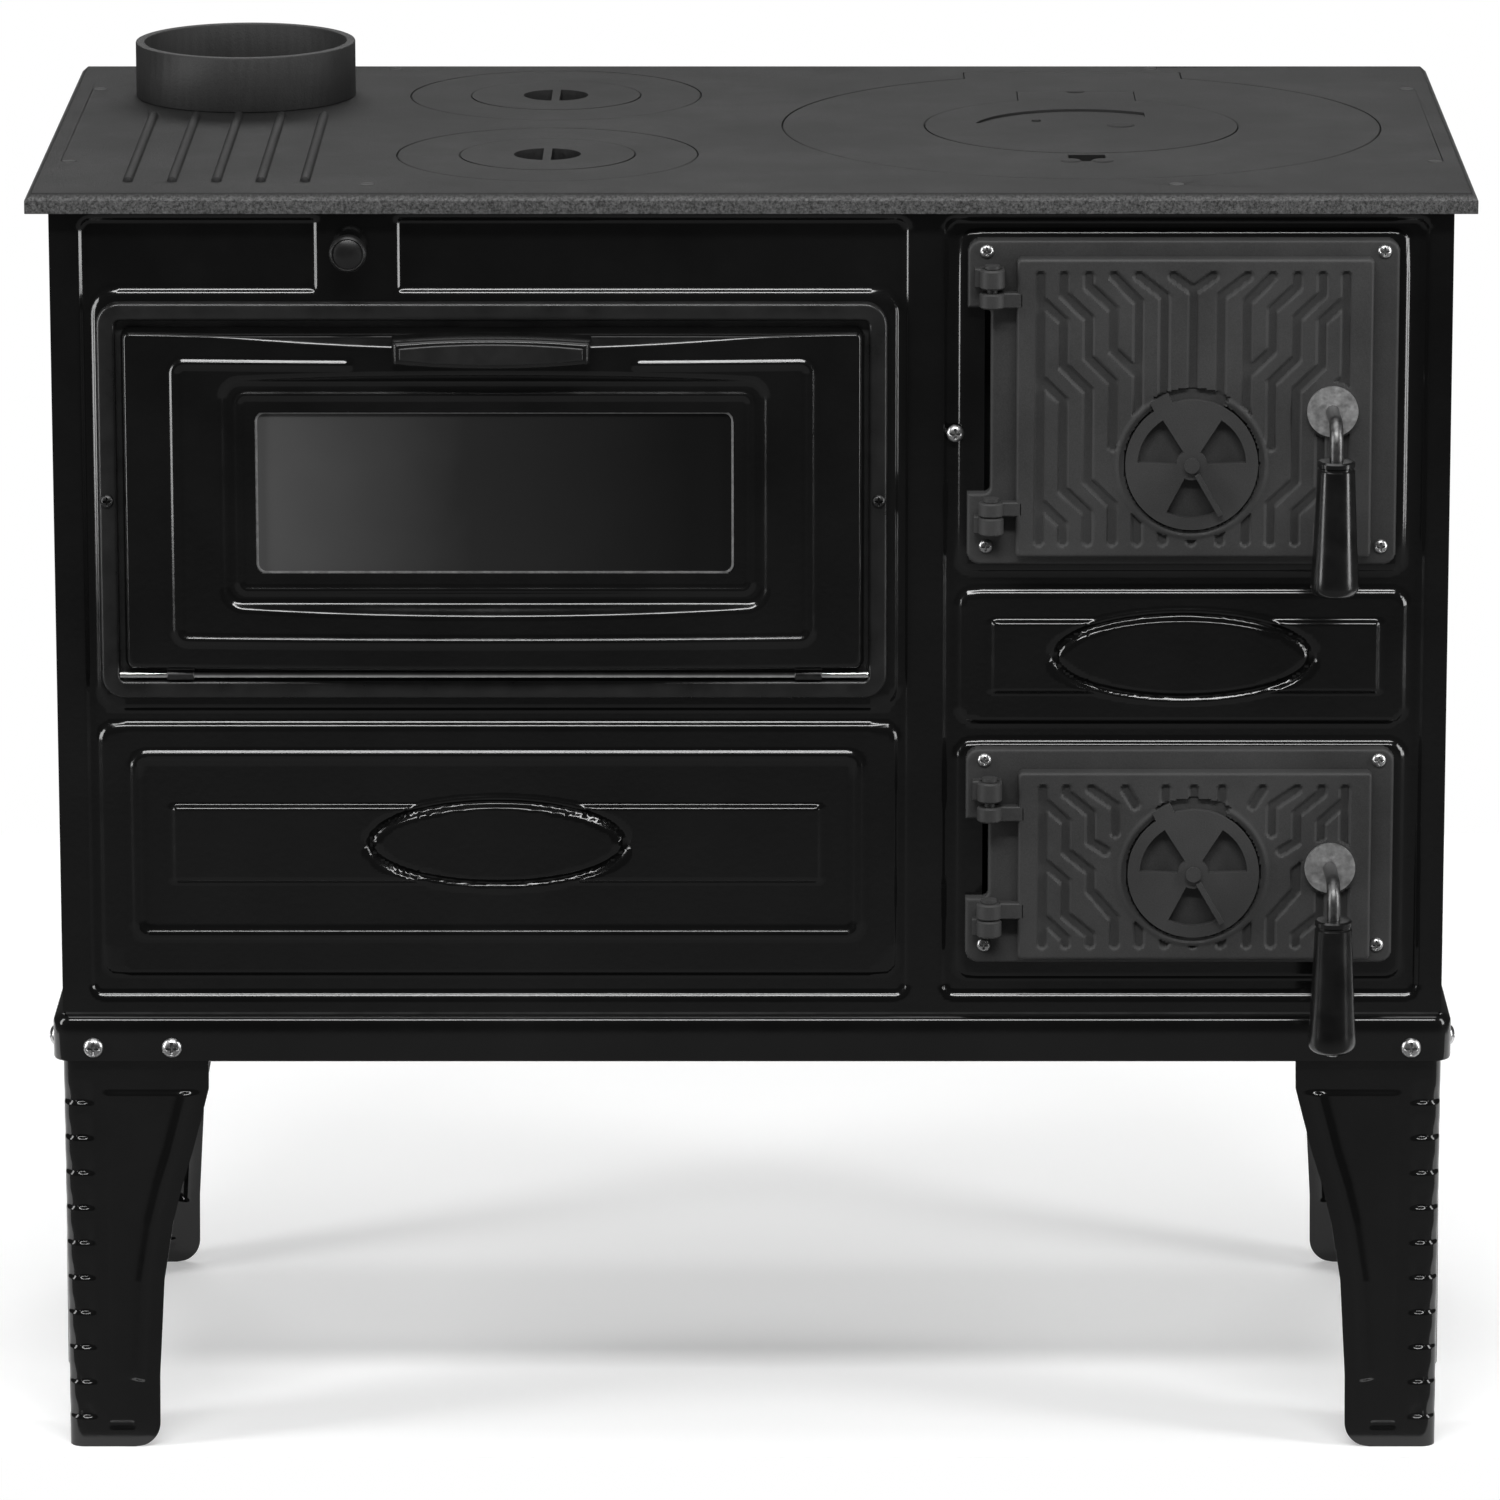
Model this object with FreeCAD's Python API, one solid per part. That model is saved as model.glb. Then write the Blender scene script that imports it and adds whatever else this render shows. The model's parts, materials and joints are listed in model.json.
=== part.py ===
import FreeCAD, Part
import math
import os

# Cast-iron-top wood burning cook stove: enamelled sheet body on pressed legs, oven on the
# left, firebox over ash compartment on the right. Millimetres, X right, Y back, Z up, with
# the origin on the floor under the middle of the stove's box. Each function makes one piece.

# Cooking plate
PLATE_W = 850.0
PLATE_FRONT = -193.0
PLATE_BACK = 257.0
PLATE_LOW = 760.0
PLATE_TOP = 772.0
LIP_BEVEL = 4.0
RING_LEDGE = 7.0
RING_STEP_Z = 764.0
HOB_GAP = 0.4

# Hobs: centre X, centre Y, ring radius, lid radius
FRONT_HOB = (-122.5, -61.0, 90.0, 52.0)
REAR_HOB = (-122.5, 146.0, 90.0, 52.0)
LARGE_HOB = (200.0, 38.0, 182.0, 95.0)
RING_TAB = (68.0, 229.0)
LID_TAB = (36.0, 159.0)

# Flue
FLUE_X = -315.0
FLUE_Y = 149.0
FLUE_BORE_R = 62.5
FLUE_R = 68.0
FLUE_TOP = 806.0
SPIGOT_R = 65.0
SPIGOT_LOW = 752.0

# Body
BODY_X = 412.0
BODY_FRONT = -181.0
BODY_BACK = 227.0
BODY_LOW = 273.0
SHEET = 1.5

# Base frame and legs
FRAME_X = 418.5
FRAME_FRONT = -185.0
FRAME_BACK = 205.0
FRAME_LOW = 243.0
FRAME_T = 5.5
LEG_T = 2.0
LEG_BOLT_Z = 252.0
FOOT_T = 3.0

# Oven door, band and rod
BAND = (-385.0, 80.0, 467.0, 706.0)
BAND_W = 11.0
BAND_PROUD = 6.0
DOOR = (-371.0, 66.5, 485.0, 690.6)
DOOR_FRONT = -193.0
DOOR_BACK = -181.5
WINDOW = (-291.0, -11.5, 545.0, 640.7)
ROD_Y = -186.0
ROD_Z = 481.6
ROD_R = 2.0
OVEN = (-360.0, 55.0, 487.0, 688.0)
OVEN_BACK = 190.0

# Iron doors: frame box, opening box, leaf box, vent centre, latch centre, all in X and Z
FIREBOX = {
    "frame": (127.0, 380.0, 549.0, 744.0),
    "notch": (592.0, 703.5),
    "opening": (163.0, 357.0, 563.0, 727.0),
    "leaf": (155.5, 364.5, 555.4, 734.5),
    "vent": (258.6, 611.7),
    "latch": (341.0, 643.8),
    "lugs": ((569.0, 579.6), (716.5, 728.0)),
    "knuckles": ((580.2, 588.6), (705.0, 714.0)),
}
ASH = {
    "frame": (127.0, 381.0, 305.7, 437.0),
    "notch": (345.5, 394.0),
    "opening": (163.0, 358.0, 318.0, 418.0),
    "leaf": (158.0, 367.5, 310.0, 425.0),
    "vent": (262.0, 363.6),
    "latch": (343.0, 367.2),
    "lugs": ((324.2, 334.5), (407.0, 419.0)),
    "knuckles": ((335.1, 344.7), (395.0, 404.0)),
}
IRON_FRONT = -189.0
LEAF_FRONT = -199.0
LEAF_BACK = -190.0
PLUG_BACK = -184.0
PLUG_GAP = 3.0
HINGE_X = 141.0
HINGE_Y = -197.0
HINGE_PIN_R = 3.0
LUG_R = 7.5
VENT_R = 39.0
VENT_SLOT_R = 46.0
VENT_FACE = -201.5
VENT_POCKET = -196.0
SECTOR = (9.0, 32.0, 55.0)
RIVET_R = 3.0
LATCH_R = 4.0
LATCH_BEND_R = 13.0
GRIP_Y = -242.7
GRIP_TOP_R = 11.0
GRIP_LOW_R = 14.3
GRIP_DROP = (20.2, 101.5)
PAWL = (-177.0, -172.0, 24.0, 5.0)

DIVIDER_SCREW = (120.0, 626.6)

# Damper
DAMPER_X = -236.0
DAMPER_Z = 737.0
DAMPER_R = 3.0

# Clearances
RUN_FIT = 0.08
FREE = 0.5


def v(x, y, z):
    return FreeCAD.Vector(x, y, z)


def box(x0, x1, y0, y1, z0, z1):
    return Part.makeBox(x1 - x0, y1 - y0, z1 - z0, v(x0, y0, z0))


def rod(start, end, radius):
    run = v(*end) - v(*start)
    return Part.makeCylinder(radius, run.Length, v(*start), run)


def fuse(shapes):
    whole = shapes[0]
    for shape in shapes[1:]:
        whole = whole.fuse(shape)
    return whole.removeSplitter()


def cut(shape, tools):
    for tool in tools:
        shape = shape.cut(tool)
    return shape


def group(shapes):
    return Part.makeCompound(shapes)


def round_box(x0, x1, y0, y1, z0, z1, radius, along):
    """A box whose four edges along one axis are rounded."""
    solid = box(x0, x1, y0, y1, z0, z1)
    edges = []
    for edge in solid.Edges:
        run = edge.Vertexes[1].Point - edge.Vertexes[0].Point
        if abs(getattr(run, along)) > 1e-6:
            edges.append(edge)
    return solid.makeFillet(radius, edges)


def panel(rect, y0, y1, radius=0.0):
    x0, x1, z0, z1 = rect
    if radius:
        return round_box(x0, x1, y0, y1, z0, z1, radius, "y")
    return box(x0, x1, y0, y1, z0, z1)


def grown(rect, by):
    x0, x1, z0, z1 = rect
    return (x0 - by, x1 + by, z0 - by, z1 + by)


def ring(rect, width, y0, y1, radius):
    """A rectangular band standing in the XZ plane, width measured inwards."""
    inner = max(radius - width, 1.0)
    return panel(rect, y0, y1, radius).cut(panel(grown(rect, -width), y0 - 1, y1 + 1, inner))


def polygon(points, run):
    corners = [v(*point) for point in points]
    return Part.Face(Part.makePolygon(corners + corners[:1])).extrude(v(*run))


# ---------------------------------------------------------------- cooking plate and hobs


def hob_outline(x, y, radius, tab, low, high, grow):
    """A disc, with a square tab at its back where tab gives half width and rear edge."""
    disc = rod((x, y, low), (x, y, high), radius + grow)
    if not tab:
        return disc
    half, rear = tab
    return fuse([disc, box(x - half - grow, x + half + grow, y, rear + grow, low, high)])


def plate_screw_places():
    sides = [(sign * 407.0, y) for sign in (-1, 1) for y in (-85.0, 169.0)]
    edges = [(x, y) for x in (-226.0, 250.0) for y in (-160.0, 244.0)]
    return sides + edges


def screw_head_cone(x, y, grow):
    return Part.makeCone(2.2 + grow, 4.6 + grow, 3.0, v(x, y, PLATE_TOP - 3.0))


def rib(x):
    """One raised rib in front of the flue, half round in section with round ends."""
    front, back, half = -152.0, 70.0, 3.0
    bar = Part.makeCylinder(half, back - front, v(x, front, PLATE_TOP), v(0, 1, 0))
    ends = [Part.makeSphere(half, v(x, y, PLATE_TOP)) for y in (front, back)]
    return fuse([bar] + ends)


def cooking_plate():
    half = PLATE_W / 2
    slab = box(-half, half, PLATE_FRONT, PLATE_BACK, PLATE_LOW, PLATE_TOP)
    top_edges = [e for e in slab.Edges if all(p.Point.z > PLATE_TOP - 1 for p in e.Vertexes)]
    slab = slab.makeChamfer(LIP_BEVEL, top_edges)
    slab = fuse([slab] + [rib(FLUE_X + 26.1 * k) for k in range(-2, 3)])
    for (x, y, ring_r, _), tab in ((FRONT_HOB, None), (REAR_HOB, None), (LARGE_HOB, RING_TAB)):
        slab = slab.cut(hob_outline(x, y, ring_r, tab, RING_STEP_Z, PLATE_TOP + 1, HOB_GAP))
        slab = slab.cut(rod((x, y, PLATE_LOW - 1), (x, y, PLATE_TOP), ring_r - RING_LEDGE))
    slab = slab.cut(rod((FLUE_X, FLUE_Y, PLATE_LOW - 1), (FLUE_X, FLUE_Y, PLATE_TOP + 9), SPIGOT_R))
    for x, y in plate_screw_places():
        slab = slab.cut(screw_head_cone(x, y, 0.0))
        slab = slab.cut(rod((x, y, PLATE_LOW - 1), (x, y, PLATE_TOP), 2.2))
    return slab


def hob_ring(hob, tab, lid_tab):
    x, y, ring_r, lid_r = hob
    low = RING_STEP_Z + HOB_GAP
    body = hob_outline(x, y, ring_r, tab, low, PLATE_TOP, 0.0)
    body = body.cut(hob_outline(x, y, lid_r, lid_tab, PLATE_TOP - 4, PLATE_TOP + 1, HOB_GAP))
    body = body.cut(rod((x, y, low - 1), (x, y, PLATE_TOP + 1), lid_r - RING_LEDGE))
    return body


def large_hob_ring():
    """The large ring has a square lifting notch in front of its lid."""
    x, y, _, lid_r = LARGE_HOB
    notch = box(x - 11, x + 11, y - lid_r - 28, y - lid_r - 6, PLATE_TOP - 4, PLATE_TOP + 1)
    return hob_ring(LARGE_HOB, RING_TAB, LID_TAB).cut(notch)


def small_hob_lid(hob):
    """A lid with a round lifting cup crossed by a bridge bar."""
    x, y, _, lid_r = hob
    cup_r, cup_floor = 20.0, PLATE_TOP - 12.0
    body = rod((x, y, PLATE_TOP - 3.6), (x, y, PLATE_TOP), lid_r)
    cup = rod((x, y, cup_floor - 2), (x, y, PLATE_TOP), cup_r + 3)
    hollow = rod((x, y, cup_floor), (x, y, PLATE_TOP + 1), cup_r)
    bridge = box(x - 2.5, x + 2.5, y - cup_r, y + cup_r, PLATE_TOP - 5, PLATE_TOP)
    return fuse([fuse([body, cup]).cut(hollow), bridge])


def large_hob_lid():
    """A lid with a rear tab, a half-round notch, a curved groove and a small lug."""
    x, y, _, lid_r = LARGE_HOB
    low = PLATE_TOP - 3.6
    body = hob_outline(x, y, lid_r, LID_TAB, low, PLATE_TOP, 0.0)
    notch = rod((x, LID_TAB[1], low - 1), (x, LID_TAB[1], PLATE_TOP + 1), 6.0)
    arc = rod((x, y - 8, PLATE_TOP - 1.5), (x, y - 8, PLATE_TOP + 1), 66.0)
    arc = arc.cut(rod((x, y - 18, PLATE_TOP - 2), (x, y - 18, PLATE_TOP + 2), 62.0))
    arc = arc.common(box(x - 80, x + 40, y + 8, y + 90, PLATE_TOP - 2, PLATE_TOP + 2))
    return body.cut(notch).cut(arc)


def flue_collar():
    outer = rod((FLUE_X, FLUE_Y, PLATE_TOP), (FLUE_X, FLUE_Y, FLUE_TOP), FLUE_R)
    spigot = rod((FLUE_X, FLUE_Y, SPIGOT_LOW), (FLUE_X, FLUE_Y, PLATE_TOP), SPIGOT_R - 0.1)
    bore = rod((FLUE_X, FLUE_Y, SPIGOT_LOW - 1), (FLUE_X, FLUE_Y, FLUE_TOP + 1), FLUE_BORE_R)
    return fuse([outer, spigot]).cut(bore)


def plate_screws():
    screws = []
    for x, y in plate_screw_places():
        shank = rod((x, y, PLATE_LOW + 0.3), (x, y, PLATE_TOP - 3), 2.1)
        slot = box(x - 6, x + 6, y - 0.5, y + 0.5, PLATE_TOP - 0.8, PLATE_TOP + 1)
        screws.append(fuse([screw_head_cone(x, y, -0.1), shank]).cut(slot))
    return group(screws)


# ---------------------------------------------------------------- sheet-metal body


def ellipse_pad(x, z, wide, high, y0, y1):
    ellipse = Part.Ellipse(v(x, y0, z), wide, high).toShape()
    flat = ellipse.copy()
    flat.rotate(v(x, y0, z), v(1, 0, 0), 90)
    return Part.Face(Part.Wire(flat)).extrude(v(0, y1 - y0, 0))


def pressed_fields():
    """The raised lines of the front sheet: rectangles, two ellipses and two dividers."""
    proud = BODY_FRONT - 2.0
    back = BODY_FRONT + 0.3
    lines = [
        ring((-387.0, 86.0, 296.0, 452.0), 6.0, proud, back, 8.0),
        ring((-370.0, 65.6, 318.0, 434.0), 6.0, proud, back, 8.0),
        ring((122.0, 387.0, 450.5, 531.5), 5.0, proud, back, 9.0),
    ]
    for rect, (x, z) in (
        ((-344.0, 40.5, 353.0, 400.0), (-151.4, 377.4)),
        ((142.0, 372.0, 470.0, 513.6), (255.5, 491.5)),
    ):
        pad = fuse([panel(rect, proud, back, 2.0), ellipse_pad(x, z, 78.8, 28.2, proud, back)])
        lines.append(pad.cut(ellipse_pad(x, z, 71.4, 21.6, proud - 1, back - 0.3)))
    for x0, x1 in ((93.4, 100.3), (107.2, 112.6)):
        lines.append(box(x0, x1, proud, back, 290.0, 758.0))
    return lines


def front_panel():
    top = PLATE_LOW - 0.5
    sheet = box(-BODY_X, BODY_X, BODY_FRONT, BODY_FRONT + SHEET, BODY_LOW, top)
    flanges = [
        box(x0, x0 + SHEET, BODY_FRONT, BODY_FRONT + 16, BODY_LOW, top)
        for x0 in (-BODY_X, BODY_X - SHEET)
    ]
    whole = fuse([sheet] + flanges + pressed_fields())
    oven_mouth = grown(BAND, -BAND_W)
    whole = whole.cut(panel(oven_mouth, BODY_FRONT - 5, BODY_FRONT + 5, 3.0))
    for door in (FIREBOX, ASH):
        hole = grown(door["opening"], 5.0)
        whole = whole.cut(panel(hole, BODY_FRONT - 5, BODY_FRONT + 5, 4.0))
        whole = whole.cut(group([rod((x, -200, z), (x, -170, z), 1.9) for x, z in frame_screws(door)]))
    knob_hole = rod((DAMPER_X, -200, DAMPER_Z), (DAMPER_X, -170, DAMPER_Z), DAMPER_R + FREE)
    x, z = DIVIDER_SCREW
    return cut(whole, [knob_hole, rod((x, -200, z), (x, -170, z), 1.9)])


def side_panel(sign):
    inner = BODY_X - SHEET - 0.1
    x0, x1 = sorted((sign * (inner - SHEET), sign * inner))
    return box(x0, x1, BODY_FRONT + SHEET, BODY_BACK, BODY_LOW, PLATE_LOW)


def back_panel():
    inner = BODY_X - SHEET - 0.1
    sheet = box(-inner, inner, BODY_BACK, BODY_BACK + SHEET, BODY_LOW, PLATE_LOW)
    ribs = [box(-330, 330, BODY_BACK + SHEET, BODY_BACK + 4, z, z + 12) for z in (380, 640)]
    return fuse([sheet] + ribs)


def bottom_panel():
    inner = BODY_X - SHEET - 0.1
    return box(-inner, inner, BODY_FRONT, BODY_BACK, BODY_LOW - 1.5, BODY_LOW)


def base_frame():
    """A rounded rim of angle section that the four legs are bolted inside."""
    top = BODY_LOW - 1.5
    outer = round_box(-FRAME_X, FRAME_X, FRAME_FRONT, FRAME_BACK, FRAME_LOW, top, 9.0, "z")
    t = FRAME_T
    hollow = box(
        -FRAME_X + t, FRAME_X - t, FRAME_FRONT + t, FRAME_BACK - t, FRAME_LOW - 1, top - t
    )
    rim = 22.0
    top_hole = box(
        -FRAME_X + rim, FRAME_X - rim, FRAME_FRONT + rim, FRAME_BACK - rim, FRAME_LOW, top + 1
    )
    body = outer.cut(hollow).cut(top_hole)
    return body.cut(group([bolt_solid(b, 3.0, -8.0, 10.0) for b in leg_bolt_places()]))


# ---------------------------------------------------------------- legs


def leg_bolt_places():
    """Bolt axes as (point on the rim's outer face, direction pointing outwards)."""
    places = []
    for side in (-1, 1):
        for x in (394.0, 347.0):
            places.append(((side * x, FRAME_FRONT), (0, -1)))
            places.append(((side * x, FRAME_BACK), (0, 1)))
        for y in (-156.0, 176.0):
            places.append(((side * FRAME_X, y), (side, 0)))
    return places


def bolt_solid(place, radius, inside, outside):
    """A round bar along a bolt's axis, from depth inside to outside of the rim's face."""
    (x, y), (dx, dy) = place
    start = (x + dx * inside, y + dy * inside, LEG_BOLT_Z)
    end = (x + dx * outside, y + dy * outside, LEG_BOLT_Z)
    return rod(start, end, radius)


def leg_bolts():
    bolts = []
    for place in leg_bolt_places():
        head = bolt_solid(place, 6.1, 0.0, 2.4)
        crown = bolt_solid(place, 4.6, 2.4, 4.2)
        shank = bolt_solid(place, 2.9, -15.0, 0.0)
        (x, y), (dx, dy) = place
        cross = v(-dy, dx, 0)
        slots = []
        for along in (cross, v(0, 0, 1)):
            wide = 0.6
            sx = 3.5 * abs(along.x) + wide * (1 - abs(along.x)) * abs(dy) + 2 * abs(dx)
            sy = 3.5 * abs(along.y) + wide * (1 - abs(along.y)) * abs(dx) + 2 * abs(dy)
            sz = 3.5 * along.z + wide * (1 - along.z)
            cx, cy = x + dx * 4.4, y + dy * 4.4
            slots.append(box(cx - sx, cx + sx, cy - sy, cy + sy, LEG_BOLT_Z - sz, LEG_BOLT_Z + sz))
        bolts.append(cut(fuse([head, crown, shank]), slots))
    return group(bolts)


def leg_nuts():
    nuts = []
    inside = FRAME_T + LEG_T
    for place in leg_bolt_places():
        nut = bolt_solid(place, 5.5, -inside - 5.0, -inside)
        nuts.append(nut.cut(bolt_solid(place, 2.95, -inside - 6.0, 0.0)))
    return group(nuts)


def leg_face(corner, inward, trim):
    """Outline of one leg flange: heights with the width that the flange has there."""
    widths = (
        (FRAME_LOW + 22.0, 88.0),
        (225.0, 87.4),
        (204.0, 82.0),
        (185.0, 77.0),
        (166.0, 71.0),
        (142.0, 65.0),
        (105.0, 59.0),
        (45.0, 55.5),
        (0.0, 55.0),
    )
    inner = [(corner + inward * (wide - trim), z) for z, wide in widths]
    return [(corner, 0.0), (corner, widths[0][0])] + inner


def leg(side, end):
    """A pressed leg of angle section, its two flanges narrowing towards the foot."""
    x_out = side * (FRAME_X - FRAME_T)
    y_out = FRAME_FRONT + FRAME_T if end < 0 else FRAME_BACK - FRAME_T
    front = [(x, y_out, z) for x, z in leg_face(x_out, -side, 0.0)]
    flank = [(x_out, y, z) for y, z in leg_face(y_out, -end, 10.0)]
    sheets = [polygon(front, (0, -end * LEG_T, 0)), polygon(flank, (-side * LEG_T, 0, 0))]
    foot_x = sorted((x_out, x_out - side * 50.0))
    foot_y = sorted((y_out, y_out - end * 40.0))
    foot = box(foot_x[0], foot_x[1], foot_y[0], foot_y[1], 0.0, FOOT_T)
    body = fuse(sheets + [foot])
    for place in leg_bolt_places():
        body = body.cut(bolt_solid(place, 3.0, -12.0, 1.0))
    return body


# ---------------------------------------------------------------- oven


def oven_door_frame():
    band = ring(BAND, BAND_W, BODY_FRONT - BAND_PROUD, BODY_FRONT, 14.0)
    return cut(band, [rod((x, -200, z), (x, -170, z), 2.0) for x, z in oven_screw_places()])


def oven_screw_places():
    return [(BAND[0] + 5.0, 587.0), (BAND[1] - 5.0, 587.0)]


def pan_screw(x, face, z, head_r, length):
    head = rod((x, face, z), (x, face - 1.6, z), head_r)
    crown = rod((x, face - 1.6, z), (x, face - 2.4, z), head_r * 0.7)
    shank = rod((x, face, z), (x, face + length, z), 1.85)
    slots = [
        box(x - 2.2, x + 2.2, face - 3.0, face - 1.4, z - 0.4, z + 0.4),
        box(x - 0.4, x + 0.4, face - 3.0, face - 1.4, z - 2.2, z + 2.2),
    ]
    return cut(fuse([head, crown, shank]), slots)


def oven_frame_screws():
    face = BODY_FRONT - BAND_PROUD
    return group([pan_screw(x, face, z, 4.0, 5.9) for x, z in oven_screw_places()])


def oven_hinge_rod():
    return rod((BAND[0] + BAND_W, ROD_Y, ROD_Z), (BAND[1] - BAND_W, ROD_Y, ROD_Z), ROD_R)


def oven_box():
    x0, x1, z0, z1 = OVEN
    front = BODY_FRONT + SHEET
    shell = panel(OVEN, front, OVEN_BACK, 10.0)
    shell = shell.cut(panel(grown(OVEN, -SHEET), front - 1, OVEN_BACK - SHEET, 8.5))
    flange = panel((x0 - 24, x1 + 24, z0 - 18, z1 + 16), front, front + SHEET, 10.0)
    flange = flange.cut(panel(grown(OVEN, -SHEET), front - 1, front + 5, 8.5))
    return fuse([shell, flange])


def oven_shelf_rails():
    x0, x1, _, _ = OVEN
    rails = []
    for start, end in ((x0 + SHEET, x0 + SHEET + 10), (x1 - SHEET - 10, x1 - SHEET)):
        rails.append(box(start, end, -140.0, 180.0, 583.0, 585.0))
    return group(rails)


def oven_rack():
    """A wire shelf: a round frame with bars running front to back."""
    x0, x1 = OVEN[0] + 5.0, OVEN[1] - 5.0
    y0, y1, z = -140.0, 170.0, 587.5
    wires = [rod((x0, y, z), (x1, y, z), 2.5) for y in (y0, y1)]
    bars = 14
    for k in range(bars + 1):
        x = x0 + 6 + (x1 - x0 - 12) * k / bars
        wires.append(rod((x, y0 + 0.5, z), (x, y1 - 0.5, z), 1.8))
    return fuse(wires)


def oven_door_skin():
    """The front pan of the oven door with its window and the knuckles round the rod."""
    pan = panel(DOOR, DOOR_FRONT, DOOR_BACK, 5.0)
    pan = pan.cut(panel(grown(DOOR, -SHEET), DOOR_FRONT + SHEET, DOOR_BACK + 1, 3.5))
    frame = ring(grown(WINDOW, 17.0), 11.0, DOOR_FRONT - 5, DOOR_FRONT + 0.5, 10.0)
    bead = ring((-342.5, 38.0, 500.6, 674.7), 8.0, DOOR_FRONT - 2, DOOR_FRONT + 0.5, 6.0)
    bead = bead.cut(box(-234.0, -70.0, DOOR_FRONT - 3, DOOR_FRONT, 660.0, 680.0))
    body = fuse([pan, frame, bead])
    body = body.cut(panel(WINDOW, DOOR_FRONT - 9, DOOR_BACK, 6.0))
    for x in (DOOR[0] + 25.0, DOOR[1] - 41.0):
        tube = rod((x, ROD_Y, ROD_Z), (x + 16, ROD_Y, ROD_Z), 3.2)
        neck = box(x, x + 16, ROD_Y - 1.5, ROD_Y + 1.5, ROD_Z, DOOR[2] + 0.5)
        body = fuse([body, tube, neck])
        body = body.cut(rod((x - 1, ROD_Y, ROD_Z), (x + 17, ROD_Y, ROD_Z), ROD_R + RUN_FIT))
    return body


def oven_door_liner():
    """The inner sheet of the oven door, dished into the oven's mouth."""
    flat = panel(grown(DOOR, -1.0), DOOR_BACK, DOOR_BACK + 1.2, 4.0)
    dish_rect = (OVEN[0] + 8.0, OVEN[1] - 8.0, 500.0, 680.0)
    dish = panel(dish_rect, DOOR_BACK, DOOR_BACK + 19.0, 8.0)
    hollow = panel(grown(dish_rect, -1.2), DOOR_BACK - 1, DOOR_BACK + 17.8, 7.0)
    body = fuse([flat, dish]).cut(hollow)
    return body.cut(panel(WINDOW, DOOR_BACK - 5, DOOR_BACK + 30, 6.0))


def oven_door_glass():
    front = DOOR_FRONT + SHEET + 2.0
    return panel(grown(WINDOW, 9.0), front, front + 4.0, 8.0)


def oven_glass_seal():
    front = DOOR_FRONT + SHEET
    return ring(grown(WINDOW, 9.0), 7.0, front, front + 2.0, 8.0)


def oven_door_handle():
    """A moulded grip with a finger hollow under its front lip."""
    middle = (DOOR[0] + DOOR[1]) / 2
    half = 58.5
    body = round_box(middle - half, middle + half, DOOR_FRONT - 18, DOOR_FRONT, 669.5, 690.0, 4.0, "y")
    hollow = box(
        middle - half + 8, middle + half - 8, DOOR_FRONT - 13, DOOR_FRONT - 2, 668.0, 684.0
    )
    return body.cut(hollow)


# ---------------------------------------------------------------- iron doors


def frame_screws(door):
    x0, x1, z0, z1 = door["frame"]
    return [(x, z) for x in (x0 + 11.0, x1 - 9.0) for z in (z0 + 11.3, z1 - 6.7)]


def door_frame(door):
    """The cast frame, with its screw holes and two hinge lugs on the left."""
    body = panel(door["frame"], IRON_FRONT, BODY_FRONT, 8.0)
    body = body.cut(panel(door["opening"], IRON_FRONT - 1, BODY_FRONT + 1, 5.0))
    low, high = door["notch"]
    body = body.cut(panel((100.0, 140.5, low, high), IRON_FRONT - 1, BODY_FRONT + 1, 4.0))
    lugs = []
    for low, high in door["lugs"]:
        lug = box(HINGE_X - 10, HINGE_X + LUG_R, HINGE_Y, IRON_FRONT + 1, low, high)
        eye = rod((HINGE_X, HINGE_Y, low), (HINGE_X, HINGE_Y, high), LUG_R)
        lugs.append(fuse([lug, eye]))
    body = fuse([body] + lugs)
    pins = [
        rod((HINGE_X, HINGE_Y, low - 1), (HINGE_X, HINGE_Y, high + 1), HINGE_PIN_R)
        for low, high in door["lugs"]
    ]
    holes = [rod((x, -200, z), (x, -170, z), 1.9) for x, z in frame_screws(door)]
    return cut(body, pins + holes)


def sector(x, z, angle, y0, y1, grow):
    """One pie-shaped vent, as wide as SECTOR says, centred on an angle from +X."""
    inner, outer, span = SECTOR
    half = math.radians(span / 2)
    turn = math.radians(angle)
    points = []
    steps = 8
    for k in range(steps + 1):
        a = turn - half + 2 * half * k / steps
        points.append((x + (outer + grow) * math.cos(a), y0, z + (outer + grow) * math.sin(a)))
    for k in range(steps, -1, -1):
        a = turn - half + 2 * half * k / steps
        points.append((x + inner * math.cos(a), y0, z + inner * math.sin(a)))
    return polygon(points, (0, y1 - y0, 0))


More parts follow.
